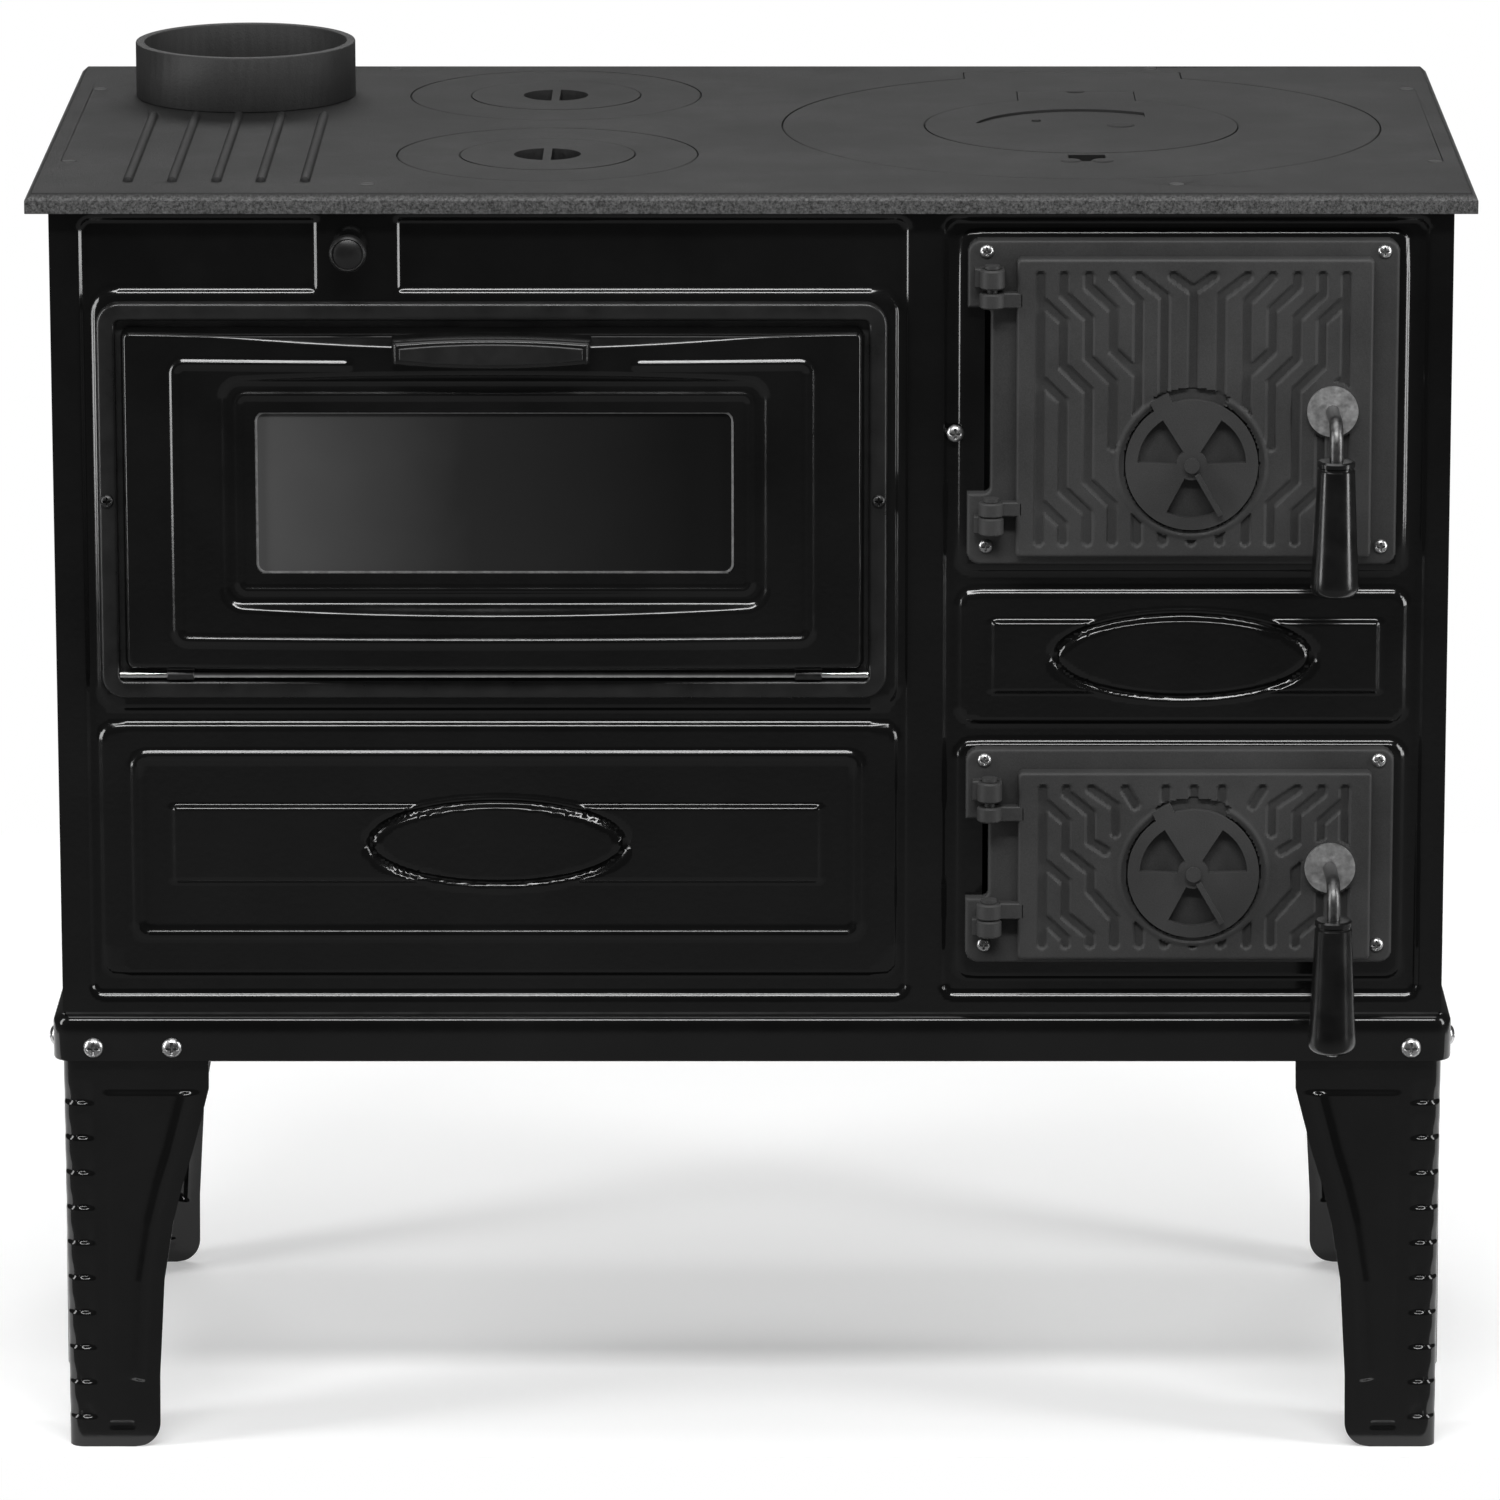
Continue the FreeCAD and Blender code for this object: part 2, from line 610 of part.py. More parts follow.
def door_leaf(door):
    """The cast leaf with its inner rim, vent pocket, vents, knuckles and latch hole."""
    body = panel(door["leaf"], LEAF_FRONT, LEAF_BACK, 3.0)
    plug_rect = grown(door["opening"], -PLUG_GAP)
    plug = ring(plug_rect, 8.0, LEAF_BACK, PLUG_BACK, 4.0)
    knuckles = []
    for low, high in door["knuckles"]:
        eye = rod((HINGE_X, HINGE_Y, low), (HINGE_X, HINGE_Y, high), LUG_R)
        arm = box(HINGE_X, door["leaf"][0] + 3, HINGE_Y - 2, HINGE_Y + 5, low, high)
        knuckles.append(fuse([eye, arm]))
    body = fuse([body, plug] + knuckles)
    pins = [
        rod((HINGE_X, HINGE_Y, low - 1), (HINGE_X, HINGE_Y, high + 1), HINGE_PIN_R + RUN_FIT)
        for low, high in door["knuckles"]
    ]
    x, z = door["vent"]
    pocket = rod((x, LEAF_FRONT - 1, z), (x, VENT_POCKET, z), VENT_R + FREE)
    slot_ring = rod((x, LEAF_FRONT - 1, z), (x, VENT_POCKET, z), VENT_SLOT_R)
    wedge = polygon(
        [(x, LEAF_FRONT - 1, z), (x - 60, LEAF_FRONT - 1, z + 80), (x + 60, LEAF_FRONT - 1, z + 80)],
        (0, VENT_POCKET - LEAF_FRONT + 1, 0),
    )
    vents = [sector(x, z, a, VENT_POCKET - 1, LEAF_BACK + 1, -1.5) for a in (90, 210, 330)]
    rivet = rod((x, LEAF_FRONT - 1, z), (x, LEAF_BACK + 1, z), RIVET_R)
    lx, lz = door["latch"]
    latch = rod((lx, LEAF_FRONT - 1, lz), (lx, PLUG_BACK + 1, lz), LATCH_R + RUN_FIT)
    return cut(body, pins + [pocket, slot_ring.common(wedge), rivet, latch] + vents)


def air_disc(door):
    """The turning vent disc with three windows, a finger rib and an ear for its stop."""
    x, z = door["vent"]
    back = VENT_POCKET - 0.4
    disc = rod((x, VENT_FACE, z), (x, back, z), VENT_R)
    ear_at = math.radians(116.0)
    ear = box(x + 20, x + VENT_SLOT_R - 1.5, VENT_FACE, back, z - 6, z + 6)
    ear.rotate(v(x, 0, z), v(0, -1, 0), math.degrees(ear_at))
    disc = fuse([disc, ear])
    disc = cut(disc, [sector(x, z, a, VENT_FACE - 1, back + 1, 0.0) for a in (30, 150, 270)])
    finger = box(x + 6, x + 34, VENT_FACE - 4, VENT_FACE + 1, z - 1.5, z + 1.5)
    finger.rotate(v(x, 0, z), v(0, -1, 0), -60.0)
    disc = fuse([disc, finger])
    return disc.cut(rod((x, VENT_FACE - 9, z), (x, back + 1, z), RIVET_R + RUN_FIT))


def disc_rivet(door):
    x, z = door["vent"]
    head = rod((x, VENT_FACE - 2.6, z), (x, VENT_FACE - 0.4, z), 4.5)
    shank = rod((x, VENT_FACE - 0.4, z), (x, LEAF_BACK, z), RIVET_R)
    tail = rod((x, LEAF_BACK, z), (x, LEAF_BACK + 2.0, z), 4.5)
    return fuse([head, shank, tail])


def latch_rod(door):
    """A bent bar: through the leaf, forward, then round a bend and down into the grip."""
    x, z = door["latch"]
    bend = LATCH_BEND_R
    start = v(x, PAWL[1], z)
    knee = v(x, GRIP_Y + bend, z)
    middle = v(x, GRIP_Y + bend * (1 - math.sin(math.pi / 4)), z - bend * (1 - math.cos(math.pi / 4)))
    drop = v(x, GRIP_Y, z - bend)
    foot = v(x, GRIP_Y, z - GRIP_DROP[0] - 25.0)
    edges = [
        Part.LineSegment(start, knee).toShape(),
        Part.Arc(knee, middle, drop).toShape(),
        Part.LineSegment(drop, foot).toShape(),
    ]
    profile = Part.Wire(Part.makeCircle(LATCH_R, start, v(0, -1, 0)))
    return Part.Wire(edges).makePipeShell([profile], True, False)


def latch_washer(door):
    x, z = door["latch"]
    plate = rod((x, LEAF_FRONT - 2.9, z), (x, LEAF_FRONT - 0.4, z), 15.0)
    return plate.cut(rod((x, LEAF_FRONT - 9, z), (x, LEAF_FRONT + 1, z), LATCH_R))


def latch_grip(door):
    """A turned grip, narrow at the rod and wide at its rounded end."""
    x, z = door["latch"]
    top, low = z - GRIP_DROP[0], z - GRIP_DROP[1]
    cone = Part.makeCone(GRIP_LOW_R, GRIP_TOP_R, top - low, v(x, GRIP_Y, low))
    socket = rod((x, GRIP_Y, top - 25.0), (x, GRIP_Y, top + 1), LATCH_R)
    return cone.cut(socket)


def latch_pawl(door):
    x, z = door["latch"]
    y0, y1, reach, half = PAWL
    tongue = round_box(x - half, x + half, y0, y1, z - 8.0, z + reach, 3.0, "y")
    return tongue.cut(rod((x, y0 - 1, z), (x, y1 + 1, z), LATCH_R))


def front_screws():
    """The screws of the two iron frames, and the one beside the divider."""
    screws = [pan_screw(DIVIDER_SCREW[0], BODY_FRONT, DIVIDER_SCREW[1], 5.2, 6.0)]
    for door in (FIREBOX, ASH):
        screws += [pan_screw(x, IRON_FRONT, z, 4.2, 14.0) for x, z in frame_screws(door)]
    return group(screws)


def door_hinge_pins():
    pins = []
    for door in (FIREBOX, ASH):
        for (a, b), (c, d) in zip(door["lugs"], door["knuckles"]):
            low, high = min(a, c), max(b, d)
            shank = rod((HINGE_X, HINGE_Y, low), (HINGE_X, HINGE_Y, high), HINGE_PIN_R)
            head = rod((HINGE_X, HINGE_Y, high + 0.4), (HINGE_X, HINGE_Y, high + 2.4), 4.6)
            neck = rod((HINGE_X, HINGE_Y, high), (HINGE_X, HINGE_Y, high + 0.4), HINGE_PIN_R)
            pins.append(fuse([shank, neck, head]))
    return group(pins)


# ---------------------------------------------------------------- firebox and ash


def firebox_side_liners():
    left = box(128.0, 142.0, -150.0, 60.0, 540.0, 750.0)
    right = box(370.0, 384.0, -150.0, 60.0, 540.0, 750.0)
    return group([left, right])


def firebox_back_liner():
    return box(128.0, 384.0, 60.0, 74.0, 540.0, 750.0)


def grate_support():
    ledge = box(128.0, 384.0, -150.0, 74.0, 532.0, 540.0)
    ledge = ledge.cut(box(170.0, 342.0, -120.0, 40.0, 531.0, 541.0))
    posts = [box(x, x + 4, -150.0, 74.0, BODY_LOW, 532.0) for x in (128.0, 380.0)]
    return fuse([ledge] + posts)


def fire_grate():
    """A cast grate: a rim crossed by tapered bars."""
    x0, x1, y0, y1, z0, z1 = 160.0, 352.0, -130.0, 50.0, 540.0, 552.0
    slab = box(x0, x1, y0, y1, z0, z1)
    slots = 9
    pitch = (x1 - x0 - 24) / slots
    for k in range(slots):
        x = x0 + 12 + pitch * (k + 0.5)
        slab = slab.cut(round_box(x - 5, x + 5, y0 + 12, y1 - 12, z0 - 1, z1 + 1, 4.5, "z"))
    return slab


def ash_pan():
    x0, x1, y0, y1, z0, z1 = 170.0, 330.0, -160.0, 60.0, 322.0, 372.0
    tray = box(x0, x1, y0, y1, z0, z1)
    return tray.cut(box(x0 + 1.5, x1 - 1.5, y0 + 1.5, y1 - 1.5, z0 + 1.5, z1 + 1))


def ash_pan_runners():
    return group([box(x, x + 12, -160.0, 60.0, BODY_LOW, 322.0) for x in (176.0, 312.0)])


def flue_baffle():
    """The shelf under the flue whose port the damper plate covers."""
    left = -BODY_X + 2 * SHEET + 0.1
    shelf = box(left, -190.0, 60.0, BODY_BACK, 728.0, 730.0)
    port = box(-365.0, -265.0, 105.0, 195.0, 727.0, 731.0)
    flange = box(left, -190.0, BODY_BACK - 2, BODY_BACK, 730.0, 745.0)
    return fuse([shelf.cut(port), flange])


def damper_plate():
    return box(-372.0, -226.0, 98.0, 202.0, 731.0, DAMPER_Z - DAMPER_R)


def damper_rod():
    return rod((DAMPER_X, BODY_FRONT - 12, DAMPER_Z), (DAMPER_X, 200, DAMPER_Z), DAMPER_R)


def damper_knob():
    """A turned knob: a wide foot, a waist and a crowned face."""
    y = BODY_FRONT - 0.5
    foot = Part.makeCone(11.0, 8.5, 6.0, v(DAMPER_X, y, DAMPER_Z), v(0, -1, 0))
    face = rod((DAMPER_X, y - 6, DAMPER_Z), (DAMPER_X, y - 19.5, DAMPER_Z), 8.5)
    socket = rod((DAMPER_X, y + 1, DAMPER_Z), (DAMPER_X, BODY_FRONT - 12, DAMPER_Z), DAMPER_R)
    return fuse([foot, face]).cut(socket)


def pieces():
    """Every piece by the name of its node."""
    made = {
        "front_panel": front_panel(),
        "left_side_panel": side_panel(-1),
        "right_side_panel": side_panel(1),
        "back_panel": back_panel(),
        "bottom_panel": bottom_panel(),
        "base_frame": base_frame(),
        "leg_front_left": leg(-1, -1),
        "leg_front_right": leg(1, -1),
        "leg_rear_left": leg(-1, 1),
        "leg_rear_right": leg(1, 1),
        "leg_bolts": leg_bolts(),
        "leg_nuts": leg_nuts(),
        "cooking_plate": cooking_plate(),
        "flue_collar": flue_collar(),
        "plate_screws": plate_screws(),
        "front_hob_ring": hob_ring(FRONT_HOB, None, None),
        "front_hob_lid": small_hob_lid(FRONT_HOB),
        "rear_hob_ring": hob_ring(REAR_HOB, None, None),
        "rear_hob_lid": small_hob_lid(REAR_HOB),
        "large_hob_ring": large_hob_ring(),
        "large_hob_lid": large_hob_lid(),
        "oven_door_frame": oven_door_frame(),
        "oven_frame_screws": oven_frame_screws(),
        "oven_hinge_rod": oven_hinge_rod(),
        "oven_box": oven_box(),
        "oven_shelf_rails": oven_shelf_rails(),
        "oven_rack": oven_rack(),
        "oven_door_skin": oven_door_skin(),
        "oven_door_liner": oven_door_liner(),
        "oven_door_glass": oven_door_glass(),
        "oven_glass_seal": oven_glass_seal(),
        "oven_door_handle": oven_door_handle(),
        "front_screws": front_screws(),
        "door_hinge_pins": door_hinge_pins(),
        "firebox_side_liners": firebox_side_liners(),
        "firebox_back_liner": firebox_back_liner(),
        "grate_support": grate_support(),
        "fire_grate": fire_grate(),
        "ash_pan": ash_pan(),
        "ash_pan_runners": ash_pan_runners(),
        "flue_baffle": flue_baffle(),
        "damper_plate": damper_plate(),
        "damper_rod": damper_rod(),
        "damper_knob": damper_knob(),
    }
    for name, door in (("firebox", FIREBOX), ("ash", ASH)):
        made[name + "_door_frame"] = door_frame(door)
        made[name + "_door_leaf"] = door_leaf(door)
        made[name + "_air_disc"] = air_disc(door)
        made[name + "_disc_rivet"] = disc_rivet(door)
        made[name + "_latch_rod"] = latch_rod(door)
        made[name + "_latch_washer"] = latch_washer(door)
        made[name + "_latch_grip"] = latch_grip(door)
        made[name + "_latch_pawl"] = latch_pawl(door)
    return made


def main():
    os.makedirs("parts", exist_ok=True)
    for name, shape in pieces().items():
        if not shape.isValid():
            print("not valid:", name)
        shape.exportStep("parts/" + name + ".step")


main()
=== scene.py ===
import json
import math

import bmesh
import bpy
import numpy as np
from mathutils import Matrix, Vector


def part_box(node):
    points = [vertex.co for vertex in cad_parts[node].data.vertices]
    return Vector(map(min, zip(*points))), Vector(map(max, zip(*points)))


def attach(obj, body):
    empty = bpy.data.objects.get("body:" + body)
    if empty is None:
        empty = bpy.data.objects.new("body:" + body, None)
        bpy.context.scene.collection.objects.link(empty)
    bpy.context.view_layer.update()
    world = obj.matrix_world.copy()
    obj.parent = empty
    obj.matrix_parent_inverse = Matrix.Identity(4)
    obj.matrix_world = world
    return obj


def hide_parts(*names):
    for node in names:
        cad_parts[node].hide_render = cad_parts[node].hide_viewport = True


# The wood burning cook stove, in metres in the frame of its CAD model: X right, Y back, Z up.

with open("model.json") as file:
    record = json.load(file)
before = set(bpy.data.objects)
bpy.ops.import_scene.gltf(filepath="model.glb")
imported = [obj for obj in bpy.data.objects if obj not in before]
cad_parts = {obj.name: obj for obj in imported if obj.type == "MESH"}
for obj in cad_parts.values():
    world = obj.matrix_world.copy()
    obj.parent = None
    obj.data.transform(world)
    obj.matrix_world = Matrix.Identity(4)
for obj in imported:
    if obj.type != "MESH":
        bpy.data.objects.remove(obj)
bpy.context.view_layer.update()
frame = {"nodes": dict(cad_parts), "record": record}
MM = 0.001
WHITE = (1.0, 1.0, 1.0, 1.0)
HOB_TOP = 772.0 * MM


def span(node):
    low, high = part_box(node)
    return Vector(low), Vector(high)


def middle(node):
    return [(low + high) / 2 for low, high in zip(*span(node))]


def face_rect(low, high):
    """The outline seen from the front, as (x0, x1, z0, z1)."""
    return (low.x, high.x, low.z, high.z)


# ---- shader helpers


def new_material(name):
    material = bpy.data.materials.new(name)
    material.use_nodes = True
    tree = material.node_tree
    return material, tree, tree.nodes["Principled BSDF"]


def axes(tree, source):
    """The X, Y and Z of texture coordinates."""
    place = tree.nodes.new("ShaderNodeTexCoord")
    parts = tree.nodes.new("ShaderNodeSeparateXYZ")
    tree.links.new(place.outputs[source], parts.inputs["Vector"])
    return parts.outputs


def noise(tree, scale, detail=4.0, roughness=0.55):
    """Noise in object coordinates, so that it stays on the piece."""
    place = tree.nodes.new("ShaderNodeTexCoord")
    pattern = tree.nodes.new("ShaderNodeTexNoise")
    pattern.inputs["Scale"].default_value = scale
    pattern.inputs["Detail"].default_value = detail
    pattern.inputs["Roughness"].default_value = roughness
    tree.links.new(place.outputs["Object"], pattern.inputs["Vector"])
    return pattern.outputs["Fac"]


def ramp(tree, value, stops):
    node = tree.nodes.new("ShaderNodeValToRGB")
    elements = node.color_ramp.elements
    while len(elements) < len(stops):
        elements.new(0.5)
    for element, (place, tone) in zip(elements, stops):
        element.position = place
        colour = (tone, tone, tone) if isinstance(tone, float) else tone
        element.color = (*colour, 1.0)
    tree.links.new(value, node.inputs["Fac"])
    return node.outputs["Color"]


def bump(tree, height, distance, strength, under=None):
    node = tree.nodes.new("ShaderNodeBump")
    node.inputs["Strength"].default_value = strength
    node.inputs["Distance"].default_value = distance
    tree.links.new(height, node.inputs["Height"])
    if under:
        tree.links.new(under, node.inputs["Normal"])
    return node.outputs["Normal"]


def fade(tree, value, start, end):
    """From 0 at start to 1 at end."""
    node = tree.nodes.new("ShaderNodeMapRange")
    node.inputs["From Min"].default_value = start
    node.inputs["From Max"].default_value = end
    tree.links.new(value, node.inputs["Value"])
    return node.outputs["Result"]


def combine(tree, operation, first, second=None):
    node = tree.nodes.new("ShaderNodeMath")
    node.operation = operation
    tree.links.new(first, node.inputs[0])
    if second:
        tree.links.new(second, node.inputs[1])
    return node.outputs["Value"]


def coat(tree, shader, tone, rough, normal):
    for value, socket in ((tone, "Base Color"), (rough, "Roughness"), (normal, "Normal")):
        tree.links.new(value, shader.inputs[socket])


def enamel_material():
    """Black vitreous enamel: near black, glossy, with a faint orange peel."""
    material, tree, shader = new_material("black_enamel")
    tone = ramp(tree, noise(tree, 9.0), [(0.35, 0.0035), (0.7, 0.0065)])
    gloss = ramp(tree, noise(tree, 35.0), [(0.3, 0.10), (0.75, 0.17)])
    peel = bump(tree, noise(tree, 260.0, 2.0), 0.00006, 0.35)
    coat(tree, shader, tone, gloss, peel)
    shader.inputs["IOR"].default_value = 1.5
    return material


def iron_material(name, dark, light, grain):
    """Sand-cast iron: a fine grain over slow blotches of tone."""
    material, tree, shader = new_material(name)
    speckle = noise(tree, 1400.0, 6.0, 0.7)
    blotch = noise(tree, 14.0, 5.0)
    mix = tree.nodes.new("ShaderNodeMix")
    mix.data_type = "FLOAT"
    mix.inputs["Factor"].default_value = 0.45
    tree.links.new(speckle, mix.inputs["A"])
    tree.links.new(blotch, mix.inputs["B"])
    tone = ramp(tree, mix.outputs["Result"], [(0.34, dark), (0.66, light)])
    rough = ramp(tree, blotch, [(0.3, 0.5), (0.7, 0.66)])
    coarse = bump(tree, noise(tree, 90.0, 4.0), 0.0004, 0.25)
    fine = bump(tree, noise(tree, 700.0, 5.0, 0.65), 0.0003, grain, coarse)
    coat(tree, shader, tone, rough, fine)
    shader.inputs["Specular IOR Level"].default_value = 0.4
    return material


def worn_material(name, tones, roughness, wear, grain, depth, strength, metallic):
    """Tone and roughness that wander together over the piece, under a fine grain."""
    material, tree, shader = new_material(name)
    pattern = noise(tree, *wear)
    tone = ramp(tree, pattern, [(0.3, tones[0]), (0.7, tones[1])])
    rough = ramp(tree, pattern, [(0.3, roughness[0]), (0.7, roughness[1])])
    coat(tree, shader, tone, rough, bump(tree, noise(tree, grain), depth, strength))
    shader.inputs["Metallic"].default_value = metallic
    return material


def metal_material(name, tones, roughness, scale=120.0):
    return worn_material(name, tones, roughness, (scale, 5.0, 0.6), 900.0, 0.00005, 0.4, 1.0)


def plastic_material(name, tones, roughness):
    return worn_material(name, tones, roughness, (60.0, 4.0), 500.0, 0.00006, 0.3, 0.0)


def glass_material():
    """Smoked oven glass: dark and smooth, with a painted sheen that makes it lighter towards its left end.
    """
    material, tree, shader = new_material("dark_glass")
    low, high = span("oven_door_glass")
    # Painted sheen: the tone runs from lighter at the glass's left end to darker at its right end.
    painted_sheen_fade = fade(tree, axes(tree, "Object")["X"], low.x, high.x)
    soot = noise(tree, 8.0, 3.0)
    blend = tree.nodes.new("ShaderNodeMath")
    blend.operation = "MULTIPLY_ADD"
    blend.inputs[1].default_value = 0.25
    tree.links.new(soot, blend.inputs[0])
    tree.links.new(painted_sheen_fade, blend.inputs[2])
    tone = ramp(tree, blend.outputs["Value"], [(0.12, 0.085), (0.55, 0.022), (1.0, 0.007)])
    tree.links.new(tone, shader.inputs["Base Color"])
    tree.links.new(ramp(tree, soot, [(0.3, 0.04), (0.7, 0.09)]), shader.inputs["Roughness"])
    return material


def seal_material():
    material, tree, shader = new_material("rope_seal")
    weave = noise(tree, 600.0, 3.0)
    tree.links.new(ramp(tree, weave, [(0.3, 0.10), (0.7, 0.22)]), shader.inputs["Base Color"])
    tree.links.new(bump(tree, weave, 0.0005, 0.8), shader.inputs["Normal"])
    shader.inputs["Roughness"].default_value = 0.9
    return material


def plate_material():
    """The hob's iron: dark on top, with painted light that makes the lip round the plate's outer edge
    brighter.
    """
    material, tree, shader = new_material("cast_iron_hob")
    low, high = span("cooking_plate")
    across, along, up = axes(tree, "Object")
    start, end = 6.0 * MM, 3.5 * MM
    side = fade(tree, combine(tree, "ABSOLUTE", across), high.x - start, high.x - end)
    front = fade(tree, along, low.y + start, low.y + end)
    back = fade(tree, along, high.y - start, high.y - end)
    border = combine(tree, "MAXIMUM", side, combine(tree, "MAXIMUM", front, back))
    below = fade(tree, up, HOB_TOP - 0.2 * MM, HOB_TOP - 3.0 * MM)
    # Painted light: the faces of the plate's outer lip, below its top, get a brighter speckled tone than the
    # top.
    lip = combine(tree, "MULTIPLY", border, below)
    speckle = noise(tree, 620.0, 6.0, 0.8)
    blotch = noise(tree, 11.0, 5.0)
    top_tone = ramp(tree, blotch, [(0.3, 0.0075), (0.7, 0.0145)])
    lip_painted_light_tone = ramp(tree, speckle, [(0.38, 0.014), (0.64, 0.15)])
    mix = tree.nodes.new("ShaderNodeMix")
    mix.data_type = "RGBA"
    tree.links.new(lip, mix.inputs["Factor"])
    tree.links.new(top_tone, mix.inputs[6])
    tree.links.new(lip_painted_light_tone, mix.inputs[7])
    rough = ramp(tree, blotch, [(0.3, 0.52), (0.7, 0.68)])
    coarse = bump(tree, noise(tree, 60.0, 4.0), 0.0005, 0.3)
    fine = bump(tree, noise(tree, 600.0, 5.0, 0.7), 0.0006, 0.8, coarse)
    coat(tree, shader, mix.outputs[2], rough, fine)
    shader.inputs["Specular IOR Level"].default_value = 0.24
    return material


ENAMEL = enamel_material()
ENAMEL_SATIN = plastic_material("black_enamel_satin", (0.010, 0.018), (0.26, 0.36))
IRON_HOB = plate_material()
IRON_FLUE = iron_material("cast_iron_flue", 0.010, 0.030, 0.8)
IRON = iron_material("cast_iron", 0.028, 0.060, 0.35)
IRON_DARK = iron_material("cast_iron_inside", 0.018, 0.040, 0.5)
ZINC = metal_material("zinc_steel", (0.42, 0.62), (0.24, 0.38))
WIRE = metal_material("bright_wire", (0.62, 0.78), (0.12, 0.24))
LATCH_STEEL = metal_material("latch_steel", (0.10, 0.22), (0.32, 0.5), 260.0)
WASHER_ZINC = metal_material("washer_zinc", (0.40, 0.62), (0.48, 0.62), 300.0)
DARK_STEEL = metal_material("dark_screw", (0.05, 0.10), (0.35, 0.5))
SHEET_STEEL = plastic_material("sheet_steel", (0.018, 0.035), (0.4, 0.55))
BAKELITE = plastic_material("black_plastic", (0.005, 0.009), (0.16, 0.26))
BAKELITE_SATIN = plastic_material("black_plastic_satin", (0.008, 0.014), (0.30, 0.42))
GLASS = glass_material()
SEAL = seal_material()


# ---- mesh helpers


def mesh_object(name, points, faces, material, body, crease=35.0):
    """A piece in the row frame with one material, smooth up to a crease angle, riding on a body."""
    mesh = bpy.data.meshes.new(name)
    mesh.from_pydata(points, [], faces)
    work = bmesh.new()
    work.from_mesh(mesh)
    bmesh.ops.remove_doubles(work, verts=work.verts, dist=2e-6)
    bmesh.ops.dissolve_degenerate(work, edges=work.edges, dist=1e-6)
    bmesh.ops.recalc_face_normals(work, faces=work.faces)
    work.to_mesh(mesh)
    work.free()
    mesh.materials.append(material)
    mesh.shade_smooth()
    mesh.set_sharp_from_angle(angle=math.radians(crease))
    piece = bpy.data.objects.new(name, mesh)
    bpy.context.scene.collection.objects.link(piece)
    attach(piece, body)
    return piece


def bevel(piece, width, segments=2, angle=35.0):
    """Rounds the sharp edges of a piece by a modifier."""
    weld = piece.modifiers.new("weld", "WELD")
    weld.merge_threshold = 1e-6
    rounding = piece.modifiers.new("rounding", "BEVEL")
    rounding.width = width
    rounding.segments = segments
    rounding.limit_method = "ANGLE"
    rounding.angle_limit = math.radians(angle)
    rounding.harden_normals = True


def paint(node, material):
    piece = frame["nodes"][node]
    piece.data.materials.clear()
    piece.data.materials.append(material)
    return piece


def lines(low, high, marks, coarse):
    """Grid lines from low to high: coarse ones, and finer ones inside each mark (start, end, pitch)."""
    values = [low, high]
    values += list(np.linspace(low, high, max(2, int((high - low) / coarse) + 1)))
    for start, end, pitch in marks:
        start, end = max(start, low), min(end, high)
        if end > start:
            values += list(np.linspace(start, end, max(2, int(round((end - start) / pitch)) + 1)))
    values = np.unique(np.round(values, 6))
    keep = [values[0]]
    for value in values[1:]:
        if value - keep[-1] > 0.00025:
            keep.append(value)
    keep[-1] = values[-1]
    return np.array(keep)


def edge_marks(places, half, pitch):
    return [(place - half, place + half, pitch) for place in places]


def rect_marks(*rules):
    """Marks both ways at the edges of rectangles; a rule is (rectangle, half width, pitch in mm)."""
    return [
        [mark for rect, half, pitch in rules for mark in edge_marks(rect[k:k + 2], half * MM, pitch * MM)]
        for k in (0, 2)
    ]


def grid_lines(rect, marks, coarse):
    """Grid lines both ways over a rectangle, with the marks for each way."""
    return lines(*rect[:2], marks[0], coarse), lines(*rect[2:], marks[1], coarse)


def box_distance(x, z, rect, radius):
    """Signed distance to a rounded rectangle (x0, x1, z0, z1), negative inside."""
    x0, x1, z0, z1 = rect
    dx = np.abs(x - (x0 + x1) / 2) - (x1 - x0) / 2 + radius
    dz = np.abs(z - (z0 + z1) / 2) - (z1 - z0) / 2 + radius
    outside = np.hypot(np.maximum(dx, 0), np.maximum(dz, 0))
    return outside + np.minimum(np.maximum(dx, dz), 0) - radius


def ellipse_distance(x, z, centre, half_wide, half_high):
    """Near the outline, about the signed distance to an ellipse."""
    px, pz = (x - centre[0]) / half_wide, (z - centre[1]) / half_high
    k0 = np.hypot(px, pz)
    k1 = np.hypot(px / half_wide, pz / half_high)
    return k0 * (k0 - 1.0) / np.maximum(k1, 1e-9)


def rise(distance, width):
    """From 0 outside to 1 inside, smoothly over a width inside the outline."""
    t = np.clip(-distance / width, 0.0, 1.0)
    return t * t * (3.0 - 2.0 * t)


def ridge(distance, width):
    """A smooth bead of a given width centred on distance 0."""
    t = np.clip(np.abs(distance) / (width / 2), 0.0, 1.0)
    return 0.5 * (1.0 + np.cos(np.pi * t))


def rounded_edge(inside, radius):
    """How far a face falls back towards its outline; inside is the distance from it."""
    near = np.clip(1.0 - inside / radius, 0.0, 1.0)
    return radius * (1.0 - np.sqrt(1.0 - near**2))


def grown(rect, by):
    return (rect[0] - by, rect[1] + by, rect[2] - by, rect[3] + by)


def in_mm(*rect):
    return tuple(value * MM for value in rect)


